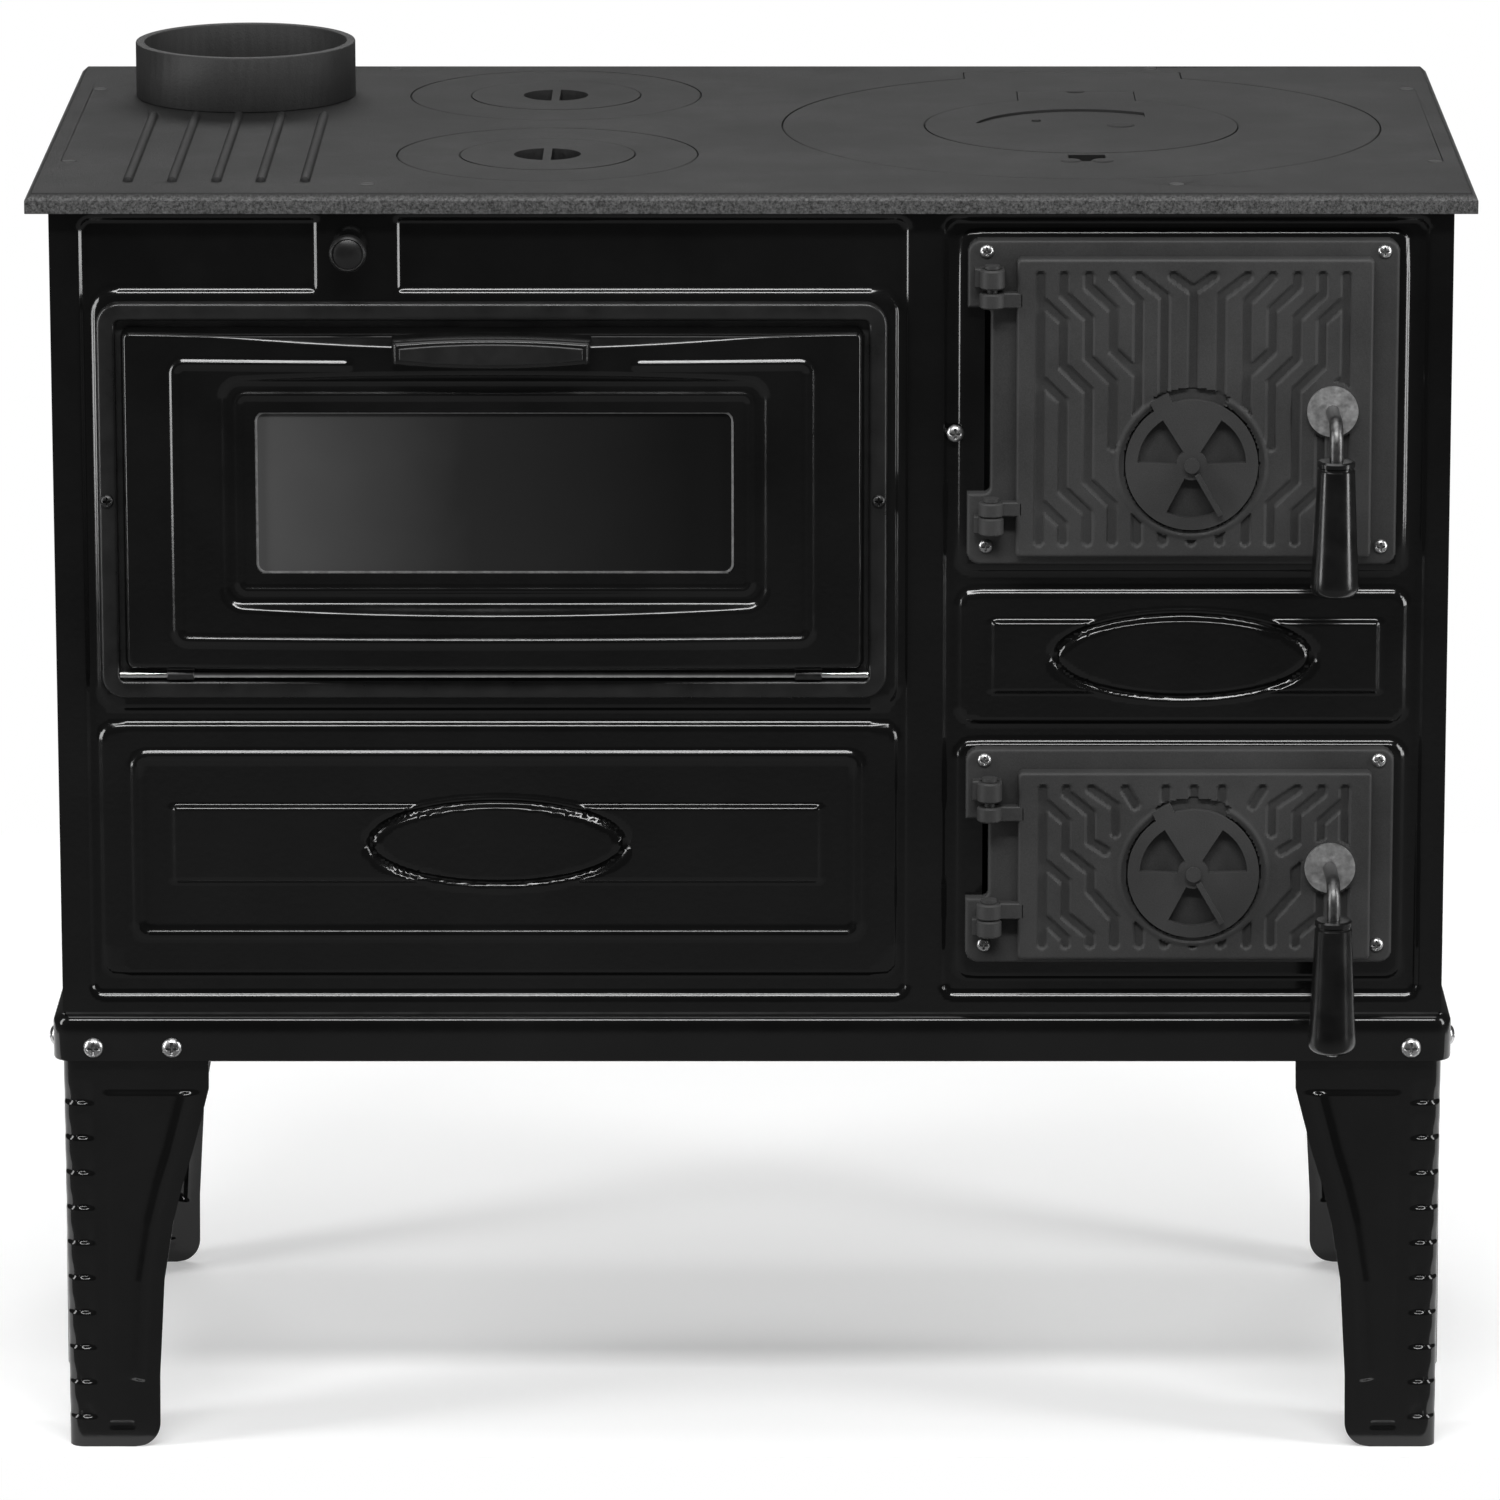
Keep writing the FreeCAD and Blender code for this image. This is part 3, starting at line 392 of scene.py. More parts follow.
def relief_piece(name, xs, zs, front, cells, material, body, back):
    """A pressed or cast plate: front gives Y over the grid, and cells says which cells are there.

    A skirt runs from the open edges to the back, which is flat.
    """
    x, z = np.meshgrid(xs, zs)
    centre_x, centre_z = np.meshgrid((xs[1:] + xs[:-1]) / 2, (zs[1:] + zs[:-1]) / 2)
    row, column = np.nonzero(cells(centre_x, centre_z))
    corner = row * len(xs) + column
    faces = np.stack([corner, corner + 1, corner + 1 + len(xs), corner + len(xs)], axis=-1)
    used, faces = np.unique(faces, return_inverse=True)
    faces = faces.reshape(-1, 4)
    near = np.stack([x, front(x, z), z], axis=-1).reshape(-1, 3)[used]
    far = np.stack([x, np.full_like(x, back), z], axis=-1).reshape(-1, 3)[used]
    quads = [tuple(face) for face in faces.tolist()]
    directed = {(a, b) for face in quads for a, b in zip(face, face[1:] + face[:1])}
    step = len(used)
    sides = [(b, a, a + step, b + step) for a, b in directed if (b, a) not in directed]
    behind = [tuple(k + step for k in reversed(face)) for face in quads]
    points = np.concatenate([near, far]).tolist()
    return mesh_object(name, points, quads + sides + behind, material, body)


def shell(name, outer, inner, material, body, crease=35.0):
    """A sheet of two matching point grids (rows of columns), closed round its four edges."""
    rows, columns = len(outer), len(outer[0])
    points = [tuple(p) for row in outer for p in row] + [tuple(p) for row in inner for p in row]
    far = rows * columns
    faces = []
    for j in range(rows - 1):
        for i in range(columns - 1):
            a = j * columns + i
            quad = (a, a + 1, a + columns + 1, a + columns)
            faces.append(quad)
            faces.append(tuple(far + k for k in reversed(quad)))
    rim = [(0, i) for i in range(columns)] + [(j, columns - 1) for j in range(1, rows)]
    rim += [(rows - 1, i) for i in range(columns - 2, -1, -1)] + [(j, 0) for j in range(rows - 2, 0, -1)]
    loop = [j * columns + i for j, i in rim]
    faces += [(b, a, far + a, far + b) for a, b in zip(loop, loop[1:] + loop[:1])]
    return mesh_object(name, points, faces, material, body, crease)


def lathe(name, profile, centre, axis, material, body, steps=48, closed=True):
    """A turned piece: profile is (radius, height along axis) in mm from one end to the other.

    A profile that comes back to its own start makes a tube, and needs no end caps.
    """
    axis = Vector(axis).normalized()
    side = axis.orthogonal().normalized()
    other = axis.cross(side)
    centre = Vector(centre)
    points, faces = [], []
    for radius, height in profile:
        for k in range(steps):
            turn = 2 * math.pi * k / steps
            spoke = side * math.cos(turn) + other * math.sin(turn)
            points.append(tuple(centre + axis * (height * MM) + spoke * (radius * MM)))
    for ring in range(len(profile) - 1):
        for k in range(steps):
            a, b = ring * steps + k, ring * steps + (k + 1) % steps
            faces.append((a, b, b + steps, a + steps))
    if closed:
        faces.append(tuple(range(steps)))
        faces.append(tuple(range((len(profile) - 1) * steps, len(profile) * steps)))
    return mesh_object(name, points, faces, material, body)


def swept_ring(name, rect, radius, section, place, material, body):
    """Sweeps a closed section of (outward, lift) pairs round a rounded rectangle.

    place turns (u, v, lift) into a point. Past the corner radius the corners turn square.
    """
    points, faces = [], []
    count = len(section)
    outline = round_outline(rect, radius)
    for (u, v), (nu, nv) in outline:
        for out, lift in section:
            reach = max(out, 0.05 * MM - radius)
            pu, pv = u + nu * reach, v + nv * reach
            pu = min(max(pu, rect[0] - out), rect[1] + out)
            pv = min(max(pv, rect[2] - out), rect[3] + out)
            points.append(place(pu, pv, lift))
    total = len(outline)
    for k in range(total):
        following = (k + 1) % total
        for m in range(count):
            n = (m + 1) % count
            faces.append((k * count + m, following * count + m, following * count + n, k * count + n))
    return mesh_object(name, points, faces, material, body)


def round_outline(rect, radius, steps=10):
    """Points and outward normals round a rounded rectangle (u0, u1, v0, v1)."""
    u0, u1, v0, v1 = rect
    corners = (
        (u1 - radius, v0 + radius, -90.0),
        (u1 - radius, v1 - radius, 0.0),
        (u0 + radius, v1 - radius, 90.0),
        (u0 + radius, v0 + radius, 180.0),
    )
    outline = []
    for cu, cv, start in corners:
        for k in range(steps + 1):
            turn = math.radians(start + 90.0 * k / steps)
            normal = (math.cos(turn), math.sin(turn))
            outline.append(((cu + radius * normal[0], cv + radius * normal[1]), normal))
    return outline


def upright(u, v, lift):
    """A plane facing the front: u is X, v is Z and lift is towards the front."""
    return (u, -lift, v)


def level(u, v, lift):
    return (u, v, lift)


# ---- front sheet

SHEET_LOW, SHEET_HIGH = span("front_panel")
SHEET_Y = SHEET_LOW.y + 2.0 * MM
BAND_LOW, BAND_HIGH = span("oven_door_frame")
FIREBOX_LOW, FIREBOX_HIGH = span("firebox_door_frame")
ASH_LOW, ASH_HIGH = span("ash_door_frame")
PRESS_DEPTH = 2.8 * MM
SLOPE = 4.5 * MM

LEFT_FIELD = in_mm(-396, 94, 281, 757)
RIGHT_FIELD = in_mm(112, 399, 281, 757)
OVEN_SURROUND = in_mm(-389, 88, 457, 714)
KNOB_STRIP = in_mm(-258, -205, 700, 780)
LOWER_PANEL = in_mm(-389, 88, 294, 452)
LOWER_BEAD = in_mm(-366, 63, 321, 431)
LOWER_PAD = in_mm(-346, 42, 352, 402)
LOWER_ELLIPSE = (-151.4 * MM, 377.4 * MM)
FIREBOX_SURROUND = in_mm(120, 388, 541, 750)
MIDDLE_SURROUND = in_mm(121, 389, 449, 533)
MIDDLE_PAD = in_mm(141, 373, 468, 515)
MIDDLE_ELLIPSE = (255.5 * MM, 491.5 * MM)
ASH_SURROUND = in_mm(120, 389, 292, 441)
ELLIPSE = in_mm(75.5, 25.0)

IRON_FACE = -189.0 * MM
LEAF_FACE = -199.0 * MM
LEAF_FLAT_BACK = -190.0 * MM
HINGE_AXIS = in_mm(141.0, -197.0)
LEAF_LEFT = {"firebox": 155.5 * MM, "ash": 158.0 * MM}
PLUG_RECTS = {"firebox": in_mm(166, 354, 566, 724), "ash": in_mm(166, 355, 321, 415)}
KNUCKLES = {
    "firebox": (in_mm(580.2, 588.6), in_mm(705.0, 714.0)),
    "ash": (in_mm(335.1, 344.7), in_mm(395.0, 404.0)),
}
LUGS = {
    "firebox": (in_mm(569.0, 579.6), in_mm(716.5, 728.0)),
    "ash": (in_mm(324.2, 334.5), in_mm(407.0, 419.0)),
}
NOTCHES = {"firebox": in_mm(592.0, 703.5), "ash": in_mm(345.5, 394.0)}
OPENINGS = {"firebox": in_mm(163, 357, 563, 727), "ash": in_mm(163, 358, 318, 418)}
LEAF_RECTS = {}
for door, left in LEAF_LEFT.items():
    leaf_low, leaf_high = span(door + "_door_leaf")
    LEAF_RECTS[door] = (left, leaf_high.x, leaf_low.z, leaf_high.z)

RIM_LOW, RIM_HIGH = span("base_frame")
BOLT_Z = 252.0 * MM
BOLT_X = in_mm(394.0, 347.0)
BOLT_Y = in_mm(-156.0, 176.0)
BAND_SCREW_Z = 587.0 * MM
DIVIDER_SCREW = in_mm(120.0, 626.6)


def front_relief(x, z):
    """How far the front sheet stands forward of its plane."""
    fields = np.maximum(
        rise(box_distance(x, z, LEFT_FIELD, 9 * MM), SLOPE),
        rise(box_distance(x, z, RIGHT_FIELD, 9 * MM), SLOPE),
    )
    plateaus = np.zeros_like(x)
    for rect, radius in (
        (OVEN_SURROUND, 16 * MM),
        (KNOB_STRIP, 2 * MM),
        (LOWER_PANEL, 12 * MM),
        (FIREBOX_SURROUND, 11 * MM),
        (MIDDLE_SURROUND, 11 * MM),
        (ASH_SURROUND, 11 * MM),
    ):
        plateaus = np.maximum(plateaus, rise(box_distance(x, z, rect, radius), SLOPE))
    height = -PRESS_DEPTH * fields * (1.0 - plateaus)
    height += 2.3 * MM * ridge(box_distance(x, z, LOWER_BEAD, 7 * MM), 9 * MM)
    for rect, centre in ((LOWER_PAD, LOWER_ELLIPSE), (MIDDLE_PAD, MIDDLE_ELLIPSE)):
        oval = ellipse_distance(x, z, centre, *ELLIPSE)
        pad = np.maximum(rise(box_distance(x, z, rect, 3 * MM), 4 * MM), rise(oval - 5 * MM, 4 * MM))
        height += 2.7 * MM * pad
        height -= 3.2 * MM * ridge(oval, 8.0 * MM)
    return height


def front_cells(x, z):
    """The sheet's cells: all but the openings, whose edges the door frames cover."""
    oven = box_distance(x, z, face_rect(BAND_LOW, BAND_HIGH), 0)
    upper = box_distance(x, z, face_rect(FIREBOX_LOW, FIREBOX_HIGH), 0)
    lower = box_distance(x, z, face_rect(ASH_LOW, ASH_HIGH), 0)
    return (oven > -6 * MM) & (upper > -10 * MM) & (lower > -10 * MM)


def front_sheet():
    rects = (LEFT_FIELD, OVEN_SURROUND, LOWER_PANEL, LOWER_BEAD, LOWER_PAD, KNOB_STRIP, RIGHT_FIELD,
             FIREBOX_SURROUND, MIDDLE_PAD)
    places_x = [value for rect in rects for value in rect[:2]]
    places_z = [value for rect in rects + (MIDDLE_SURROUND, ASH_SURROUND) for value in rect[2:]]
    marks = [edge_marks(places_x, 7 * MM, 1.6 * MM), edge_marks(places_z, 7 * MM, 1.5 * MM)]
    for centre in (LOWER_ELLIPSE, MIDDLE_ELLIPSE):
        marks[0] += edge_marks(centre[:1], 84 * MM, 2.4 * MM)
        marks[1] += edge_marks(centre[1:], 34 * MM, 1.5 * MM)
    xs, zs = grid_lines(face_rect(SHEET_LOW, SHEET_HIGH), marks, 14 * MM)
    piece = relief_piece(
        "front_sheet", xs, zs, lambda x, z: SHEET_Y - front_relief(x, z), front_cells,
        ENAMEL, "root", back=SHEET_HIGH.y + 3 * MM,
    )
    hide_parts("front_panel")


# ---- oven door

DOOR_LOW, DOOR_HIGH = span("oven_door_liner")
SKIN_LOW, SKIN_HIGH = span("oven_door_skin")
GLASS_LOW, GLASS_HIGH = span("oven_door_glass")
DOOR_RECT = (SKIN_LOW.x, SKIN_HIGH.x, DOOR_LOW.z - 1 * MM, DOOR_HIGH.z + 1 * MM)
DOOR_MIDDLE = (DOOR_RECT[0] + DOOR_RECT[1]) / 2
DOOR_BOW = 8.0 * MM
LENS_SLOPE = 0.75
LENS_ROLL = 3.0 * MM
LENS_HIGH = DOOR_BOW / LENS_SLOPE + LENS_ROLL / 2
DOOR_EDGE_Y = -191.0 * MM
WINDOW_FLAT_Y = -192.0 * MM
WINDOW = grown(face_rect(GLASS_LOW, GLASS_HIGH), -8.0 * MM)
WINDOW_FLAT = grown(WINDOW, 16.0 * MM)
DOOR_BEAD = in_mm(-339, 34.5, 504, 671)
HANDLE_GAP = in_mm(-234, -70)


def oven_door_front(x, z):
    """Y of the door's front: bowed, with a bead and a drafted recess round the window."""
    across = (x - DOOR_MIDDLE) / ((DOOR_RECT[1] - DOOR_RECT[0]) / 2)
    bulge = DOOR_BOW * (1.0 - across**2)
    edge = box_distance(x, z, DOOR_RECT, 6 * MM)
    shoulder = np.sqrt(np.clip(1.0 - np.clip(1.0 + edge / (4 * MM), 0.0, 1.0) ** 2, 0.0, 1.0))
    above = np.clip(z - DOOR_RECT[3] + LENS_HIGH * bulge / DOOR_BOW, 0.0, None)
    lean = LENS_SLOPE * np.where(above < LENS_ROLL, above**2 / (2 * LENS_ROLL), above - LENS_ROLL / 2)
    face = DOOR_EDGE_Y - bulge + np.minimum(lean, bulge)
    face -= 1.7 * MM * ridge(box_distance(x, z, DOOR_BEAD, 6 * MM), 8 * MM) * gap_fade(x, z)
    inside = -box_distance(x, z, WINDOW_FLAT, 8 * MM)
    depth = WINDOW_FLAT_Y - face
    wall = np.clip((inside + depth + 3 * MM) / (depth + 3 * MM), 0.0, 1.0)
    wall = wall * wall * (3.0 - 2.0 * wall)
    face = face + depth * wall
    inner = ridge(box_distance(x, z, grown(WINDOW_FLAT, -6 * MM), 5 * MM), 6 * MM)
    face -= 1.2 * MM * inner
    return SKIN_HIGH.y + (face - SKIN_HIGH.y) * shoulder


def gap_fade(x, z):
    """The bead stops on each side of the handle."""
    top = z > (DOOR_BEAD[2] + DOOR_BEAD[3]) / 2
    left = np.clip((HANDLE_GAP[0] - x) / (4 * MM), 0.0, 1.0)
    right = np.clip((x - HANDLE_GAP[1]) / (4 * MM), 0.0, 1.0)
    return np.where(top, np.maximum(left, right), 1.0)


def oven_door():
    marks = rect_marks((DOOR_RECT, 5, 0.6), (DOOR_BEAD, 7, 0.9), (WINDOW_FLAT, 12, 0.9), (WINDOW, 4, 0.9))
    marks[0] += edge_marks(HANDLE_GAP, 6 * MM, 1.0 * MM)
    marks[1].append((DOOR_RECT[3] - 16 * MM, DOOR_RECT[3], 0.7 * MM))
    xs, zs = grid_lines(DOOR_RECT, marks, 6 * MM)

    def cells(x, z):
        return (box_distance(x, z, DOOR_RECT, 6 * MM) < 0) & (box_distance(x, z, WINDOW, 5 * MM) > 0)

    skin = relief_piece(
        "oven_door_front", xs, zs, oven_door_front, cells, ENAMEL, "oven_door",
        back=SKIN_HIGH.y,
    )
    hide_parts("oven_door_skin")


def oven_knuckles():
    """Two tubes round the hinge rod, each on an arm that rises into the door."""
    _, centre_y, centre_z = middle("oven_hinge_rod")
    for side, start in (("left", SKIN_LOW.x + 25 * MM), ("right", SKIN_HIGH.x - 41 * MM)):
        tube = [(2.1, 0.0), (2.9, 0.0), (3.3, 0.5), (3.3, 15.5), (2.9, 16.0), (2.1, 16.0), (2.1, 0.0)]
        lathe(
            "oven_knuckle_" + side, tube, (start, centre_y, centre_z), (1, 0, 0),
            DARK_STEEL, "oven_door", closed=False,
        )
        front, back = [
            [
                [(start + run * MM, centre_y + out, centre_z + high * MM) for run in (0.0, 16.0)]
                for high in (2.9, 6.0)
            ]
            for out in (-1.2 * MM, 1.2 * MM)
        ]
        shell("oven_knuckle_arm_" + side, front, back, DARK_STEEL, "oven_door")


def oven_band():
    """The enamelled frame round the oven door: flat faced with rolled edges."""
    rect = face_rect(BAND_LOW, BAND_HIGH)
    back, face = -BAND_HIGH.y, -BAND_LOW.y
    wide, roll = 11.0 * MM, 2.6 * MM
    turns = [math.radians(18.0 * k) for k in range(6)]
    outside = [(0.0, back)]
    outside += [(-roll * (1 - math.cos(t)), face - roll * (1 - math.sin(t))) for t in turns]
    section = outside + [(-wide - out, lift) for out, lift in reversed(outside)]
    band = swept_ring("oven_band", rect, 14 * MM, section, upright, ENAMEL_SATIN, "root")
    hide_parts("oven_door_frame")


def dome_rows(outline_half, high_half, centre, face_y, root_y, columns=60, rows=24, rim=3.2 * MM):
    """Rows of points over a bar: its ends, top and bottom rounded back to the root."""
    grid = []
    for j in range(rows + 1):
        across = -math.cos(math.pi * j / rows)
        row = []
        for i in range(columns + 1):
            along = -math.cos(math.pi * i / columns)
            x = outline_half * along
            high = high_half(along)
            edge = min(outline_half * (1 - abs(along)), high * (1 - abs(across)))
            round_off = math.sqrt(max(0.0, 1.0 - (1.0 - min(edge / rim, 1.0)) ** 2))
            y = root_y + (face_y - root_y) * (0.45 + 0.55 * round_off)
            skew = (0.12 if across > 0 else -0.06) * along * along * high_half(0.0)
            row.append((centre[0] + x, y, centre[1] + high * across + skew * abs(across)))
        grid.append(row)
    return grid


def oven_handle():
    """A crowned bakelite bar with a bevelled rim and a satin face on its front."""
    low, high = span("oven_door_handle")
    centre = middle("oven_door_handle")[::2]
    half, tall = (high.x - low.x) / 2, (high.z - low.z) / 2

    def reach(along):
        return tall * (1.0 - 0.34 * along * along)

    outer = dome_rows(half, reach, centre, low.y, high.y)
    inner = [[(x, high.y, z) for x, _, z in row] for row in outer]
    bar = shell("oven_handle", outer, inner, BAKELITE, "oven_door", 50.0)
    root = low.y + 2 * MM
    face = dome_rows(
        half - 4.5 * MM, lambda a: reach(a) - 3.6 * MM, centre, low.y - 0.6 * MM, root, rim=1.5 * MM
    )
    inner = [[(x, root, z) for x, _, z in row] for row in face]
    shell("oven_handle_face", face, inner, BAKELITE_SATIN, "oven_door", 50.0)
    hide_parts("oven_door_handle")


def damper_knob():
    low, high = span("damper_knob")
    x, _, z = middle("damper_knob")
    r, deep = (high.x - low.x) / 2 / MM, (high.y - low.y) / MM
    profile = [(r * 0.55, 0.0), (r * 0.6, deep * 0.25), (r * 0.93, deep * 0.45), (r, deep * 0.6),
               (r, deep * 0.78), (r * 0.96, deep * 0.88), (r * 0.86, deep * 0.94), (r * 0.8, deep * 0.90),
               (r * 0.7, deep * 0.93), (r * 0.45, deep * 0.98), (r * 0.2, deep), (0.05, deep)]
    knob = lathe("damper_knob_turned", profile, (x, high.y, z), (0, -1, 0), BAKELITE_SATIN, "damper",
                 64)
    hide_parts("damper_knob")


def latch_grip(door):
    """A turned grip: a rim at its neck, a long taper and a rounded end."""
    node = door + "_latch_grip"
    low, high = span(node)
    x, y, _ = middle(node)
    wide, tall = (high.x - low.x) / 2 / MM, (high.z - low.z) / MM
    neck = wide * 0.77
    end_round = 6.5
    profile = [(0.05, 0.0), (wide * 0.5, end_round * (1 - math.cos(math.pi / 16)))]
    for k in range(2, 9):
        turn = math.radians(90.0 * k / 8)
        profile.append((wide * (0.55 + 0.45 * math.sin(turn)), end_round * (1 - math.cos(turn))))
    for k in range(1, 12):
        part = k / 12
        profile.append((wide + (neck - wide) * part**0.85, end_round + (tall - 6.0 - end_round) * part))
    profile += [(neck, tall - 6.0), (neck * 0.93, tall - 5.2), (neck * 0.93, tall - 4.4), (neck, tall - 3.6),
                (neck, tall - 1.2), (neck * 0.9, tall - 0.2), (neck * 0.6, tall), (4.1, tall),
                (4.1, tall - 9.0)]
    grip = lathe(door + "_grip", profile, (x, y, low.z), (0, 0, 1), BAKELITE, door + "_latch",
                 64)
    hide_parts(node)


def stroke_distance(x, z, strokes):
    """Distance to the nearest of many line segments ((x0, z0), (x1, z1))."""
    nearest = np.full_like(x, 1.0)
    for (x0, z0), (x1, z1) in strokes:
        dx, dz = x1 - x0, z1 - z0
        t = np.clip(((x - x0) * dx + (z - z0) * dz) / (dx * dx + dz * dz), 0.0, 1.0)
        nearest = np.minimum(nearest, np.hypot(x - x0 - t * dx, z - z0 - t * dz))
    return nearest


# The grooves of a leaf as polylines of (column, height): columns count from the axis outwards, and
# heights run from 0 at the grooves' lower ends to 1 at their upper ends.
GROOVE_COLUMNS = (0.0, 16.7, 31.9, 46.4, 61.0, 75.6, 89.5)
FIREBOX_GROOVES = (
    ((6, 1.0), (6, 0.0)),
    ((6, 0.912), (5, 0.83), (5, 0.66), (4, 0.57), (4, 0.226), (3, 0.138), (3, 0.0)),
    ((6, 0.616), (5, 0.531), (5, 0.195), (4, 0.107), (4, 0.0)),
    ((6, 0.148), (5, 0.063), (5, 0.0)),
    ((5, 1.0), (5, 0.93), (4, 0.843), (4, 0.692), (3, 0.60), (3, 0.36)),
    ((4, 1.0), (4, 0.962), (3, 0.874), (3, 0.72), (2, 0.63)),
    ((3, 1.0), (2, 0.903), (2, 0.45)),
    ((2, 1.0), (1, 0.925), (1, 0.5)),
    ((0.7, 1.0), (0, 0.947), (0, 0.5)),
    ((0, 0.12), (0, 0.0)),
    ((1, 0.13), (1, 0.0)),
    ((2, 0.17), (2, 0.0)),
)
ASH_GROOVES = (
    ((6, 1.0), (6, 0.0)),
    ((6, 0.925), (5, 0.79), (5, 0.597), (4, 0.468), (4, 0.344), (3, 0.161), (3, 0.0)),
    ((6, 0.532), (5, 0.403), (5, 0.183), (4, 0.054), (4, 0.0)),
    ((6, 0.172), (5, 0.032), (5, 0.0)),
    ((5, 1.0), (5, 0.974), (4, 0.845), (4, 0.66), (3.4, 0.602)),
    ((4, 1.0), (3, 0.892), (3, 0.72)),
    ((2.6, 1.0), (2.2, 0.9)),
    ((1, 1.0), (1, 0.93)),
    ((0, 1.0), (0, 0.94)),
    ((0, 0.05), (0, 0.0)),
    ((1, 0.07), (1, 0.0)),
    ((2, 0.12), (2, 0.0)),
)


def groove_strokes(grooves, low, high):
    strokes = []
    for line in grooves:
        places = [
            (np.interp(column, range(7), GROOVE_COLUMNS) * MM, low + part * (high - low))
            for column, part in line
        ]
        strokes += list(zip(places, places[1:]))
    return strokes


def door_leaf(door, grooves):
    """The cast leaf: stepped grooves, a raised rim, the disc's pocket, vents and hinge drums."""
    node = door + "_door_leaf"
    body = door + "_door"
    high = span(node)[1]
    axis = middle(door + "_disc_rivet")[::2]
    latch = middle(door + "_latch_washer")[::2]
    rect = LEAF_RECTS[door]
    face, back = LEAF_FACE, LEAF_FLAT_BACK
    pocket, disc_field = 39.6 * MM, 45.5 * MM
    strokes = groove_strokes(grooves, rect[2] + 10 * MM, rect[3] - 10.5 * MM)

    def polar(x, z):
        x, z = x - axis[0], z - axis[1]
        return np.hypot(x, z), np.degrees(np.arctan2(z, x))

    def front(x, z):
        ring, turn = polar(x, z)
        away = stroke_distance(np.abs(x - axis[0]), z, strokes)
        depth = 2.1 * MM * (1.0 - np.clip((away - 2.4 * MM) / (1.0 * MM), 0.0, 1.0))
        boss = np.hypot(x - latch[0], z - latch[1]) - 17 * MM
        depth = np.where((ring > disc_field) & (boss > 0), depth, 0.0)
        depth = depth + rounded_edge(-box_distance(x, z, rect, 3 * MM), 2.2 * MM)
        lip = 1.0 * MM * ridge(ring - 43 * MM, 5 * MM)
        slot = (np.abs(turn - 90.0) < 29.0) & (ring < disc_field)
        recess = (ring < pocket) | slot
        return np.where(recess, face + 3.0 * MM, face + depth - lip)

    def cells(x, z):
        ring, turn = polar(x, z)
        from_middle = [np.abs((turn - at + 180.0) % 360.0 - 180.0) for at in (90.0, 210.0, 330.0)]
        vents = (ring > 9 * MM) & (ring < 30.5 * MM) & (np.min(from_middle, axis=0) < 27.0)
        return (box_distance(x, z, rect, 3 * MM) < 0) & ~vents & (ring > 3.2 * MM)

    xs, zs = grid_lines(rect, rect_marks((rect, 3, 0.5)), 1.0 * MM)
    leaf = relief_piece(door + "_leaf", xs, zs, front, cells, IRON, body, back)
    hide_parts(node)
    section = [(0.0, -back), (0.0, -high.y + 1 * MM), (-1 * MM, -high.y), (-6 * MM, -high.y),
               (-7 * MM, -high.y + 1 * MM), (-7 * MM, -back)]
    swept_ring(door + "_leaf_lip", PLUG_RECTS[door], 4 * MM, section, upright, IRON, body)
    hinge_drums(door, body)


def iron_frame(door):
    """The cast frame: rounded outer and inner edges, a notch on the hinge side and two drums."""
    node = door + "_door_frame"
    low, high = span(node)
    outer = face_rect(low, high)
    opening = OPENINGS[door]
    notch = (low.x - 20 * MM, low.x + 13.5 * MM, *NOTCHES[door])

    def front(x, z):
        edge = np.minimum(-box_distance(x, z, outer, 8 * MM), box_distance(x, z, opening, 5 * MM))
        edge = np.minimum(edge, box_distance(x, z, notch, 4 * MM))
        return IRON_FACE + rounded_edge(edge, 2.0 * MM)

    def cells(x, z):
        inside = box_distance(x, z, outer, 8 * MM) < 0
        return inside & (box_distance(x, z, opening, 5 * MM) > 0) & (box_distance(x, z, notch, 4 * MM) > 0)

    marks = rect_marks((outer, 4, 0.5), (opening, 4, 0.5), (notch, 4, 0.5), (outer, 9, 0.7))
    xs, zs = grid_lines(outer, marks, 4 * MM)
    piece = relief_piece(door + "_frame", xs, zs, front, cells, IRON, "root", high.y)
    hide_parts(node)
    for k, ends in enumerate(LUGS[door]):
        name = door + "_frame_drum_" + str(k + 1)
        hinge_drum(name, ends, 7.4, 1.0, "root")
        across = np.linspace(HINGE_AXIS[0] - 10 * MM, HINGE_AXIS[0] + 7 * MM, 5)
        near, far = HINGE_AXIS[1] + 1 * MM, IRON_FACE + 1 * MM
        hinge_block(name + "_base", ends, across, near, far, 0.8 * MM, "root")


def hinge_drums(door, body):
    """Two drums on the hinge axis, each cast on an arm of the leaf."""
    across = np.linspace(HINGE_AXIS[0] + 6 * MM, LEAF_RECTS[door][0] + 3 * MM, 4)
    for k, ends in enumerate(KNUCKLES[door]):
        name = door + "_hinge_drum_" + str(k + 1)
        hinge_drum(name, ends, 7.5, 0.9, body)
        near, far = HINGE_AXIS[1] - 2 * MM, HINGE_AXIS[1] + 5 * MM
        hinge_block(name + "_arm", ends, across, near, far, 0.7 * MM, body)


def hinge_drum(name, ends, radius, chamfer, body):
    """A drum bored for the hinge pin, between two heights, with chamfered rims."""
    tall = (ends[1] - ends[0]) / MM
    bore, flat = 3.1, radius - chamfer
    profile = [(bore, 0.0), (flat, 0.0), (radius, chamfer), (radius, tall - chamfer), (flat, tall),
               (bore, tall), (bore, 0.0)]
    lathe(name, profile, (*HINGE_AXIS, ends[0]), (0, 0, 1), IRON, body, closed=False)


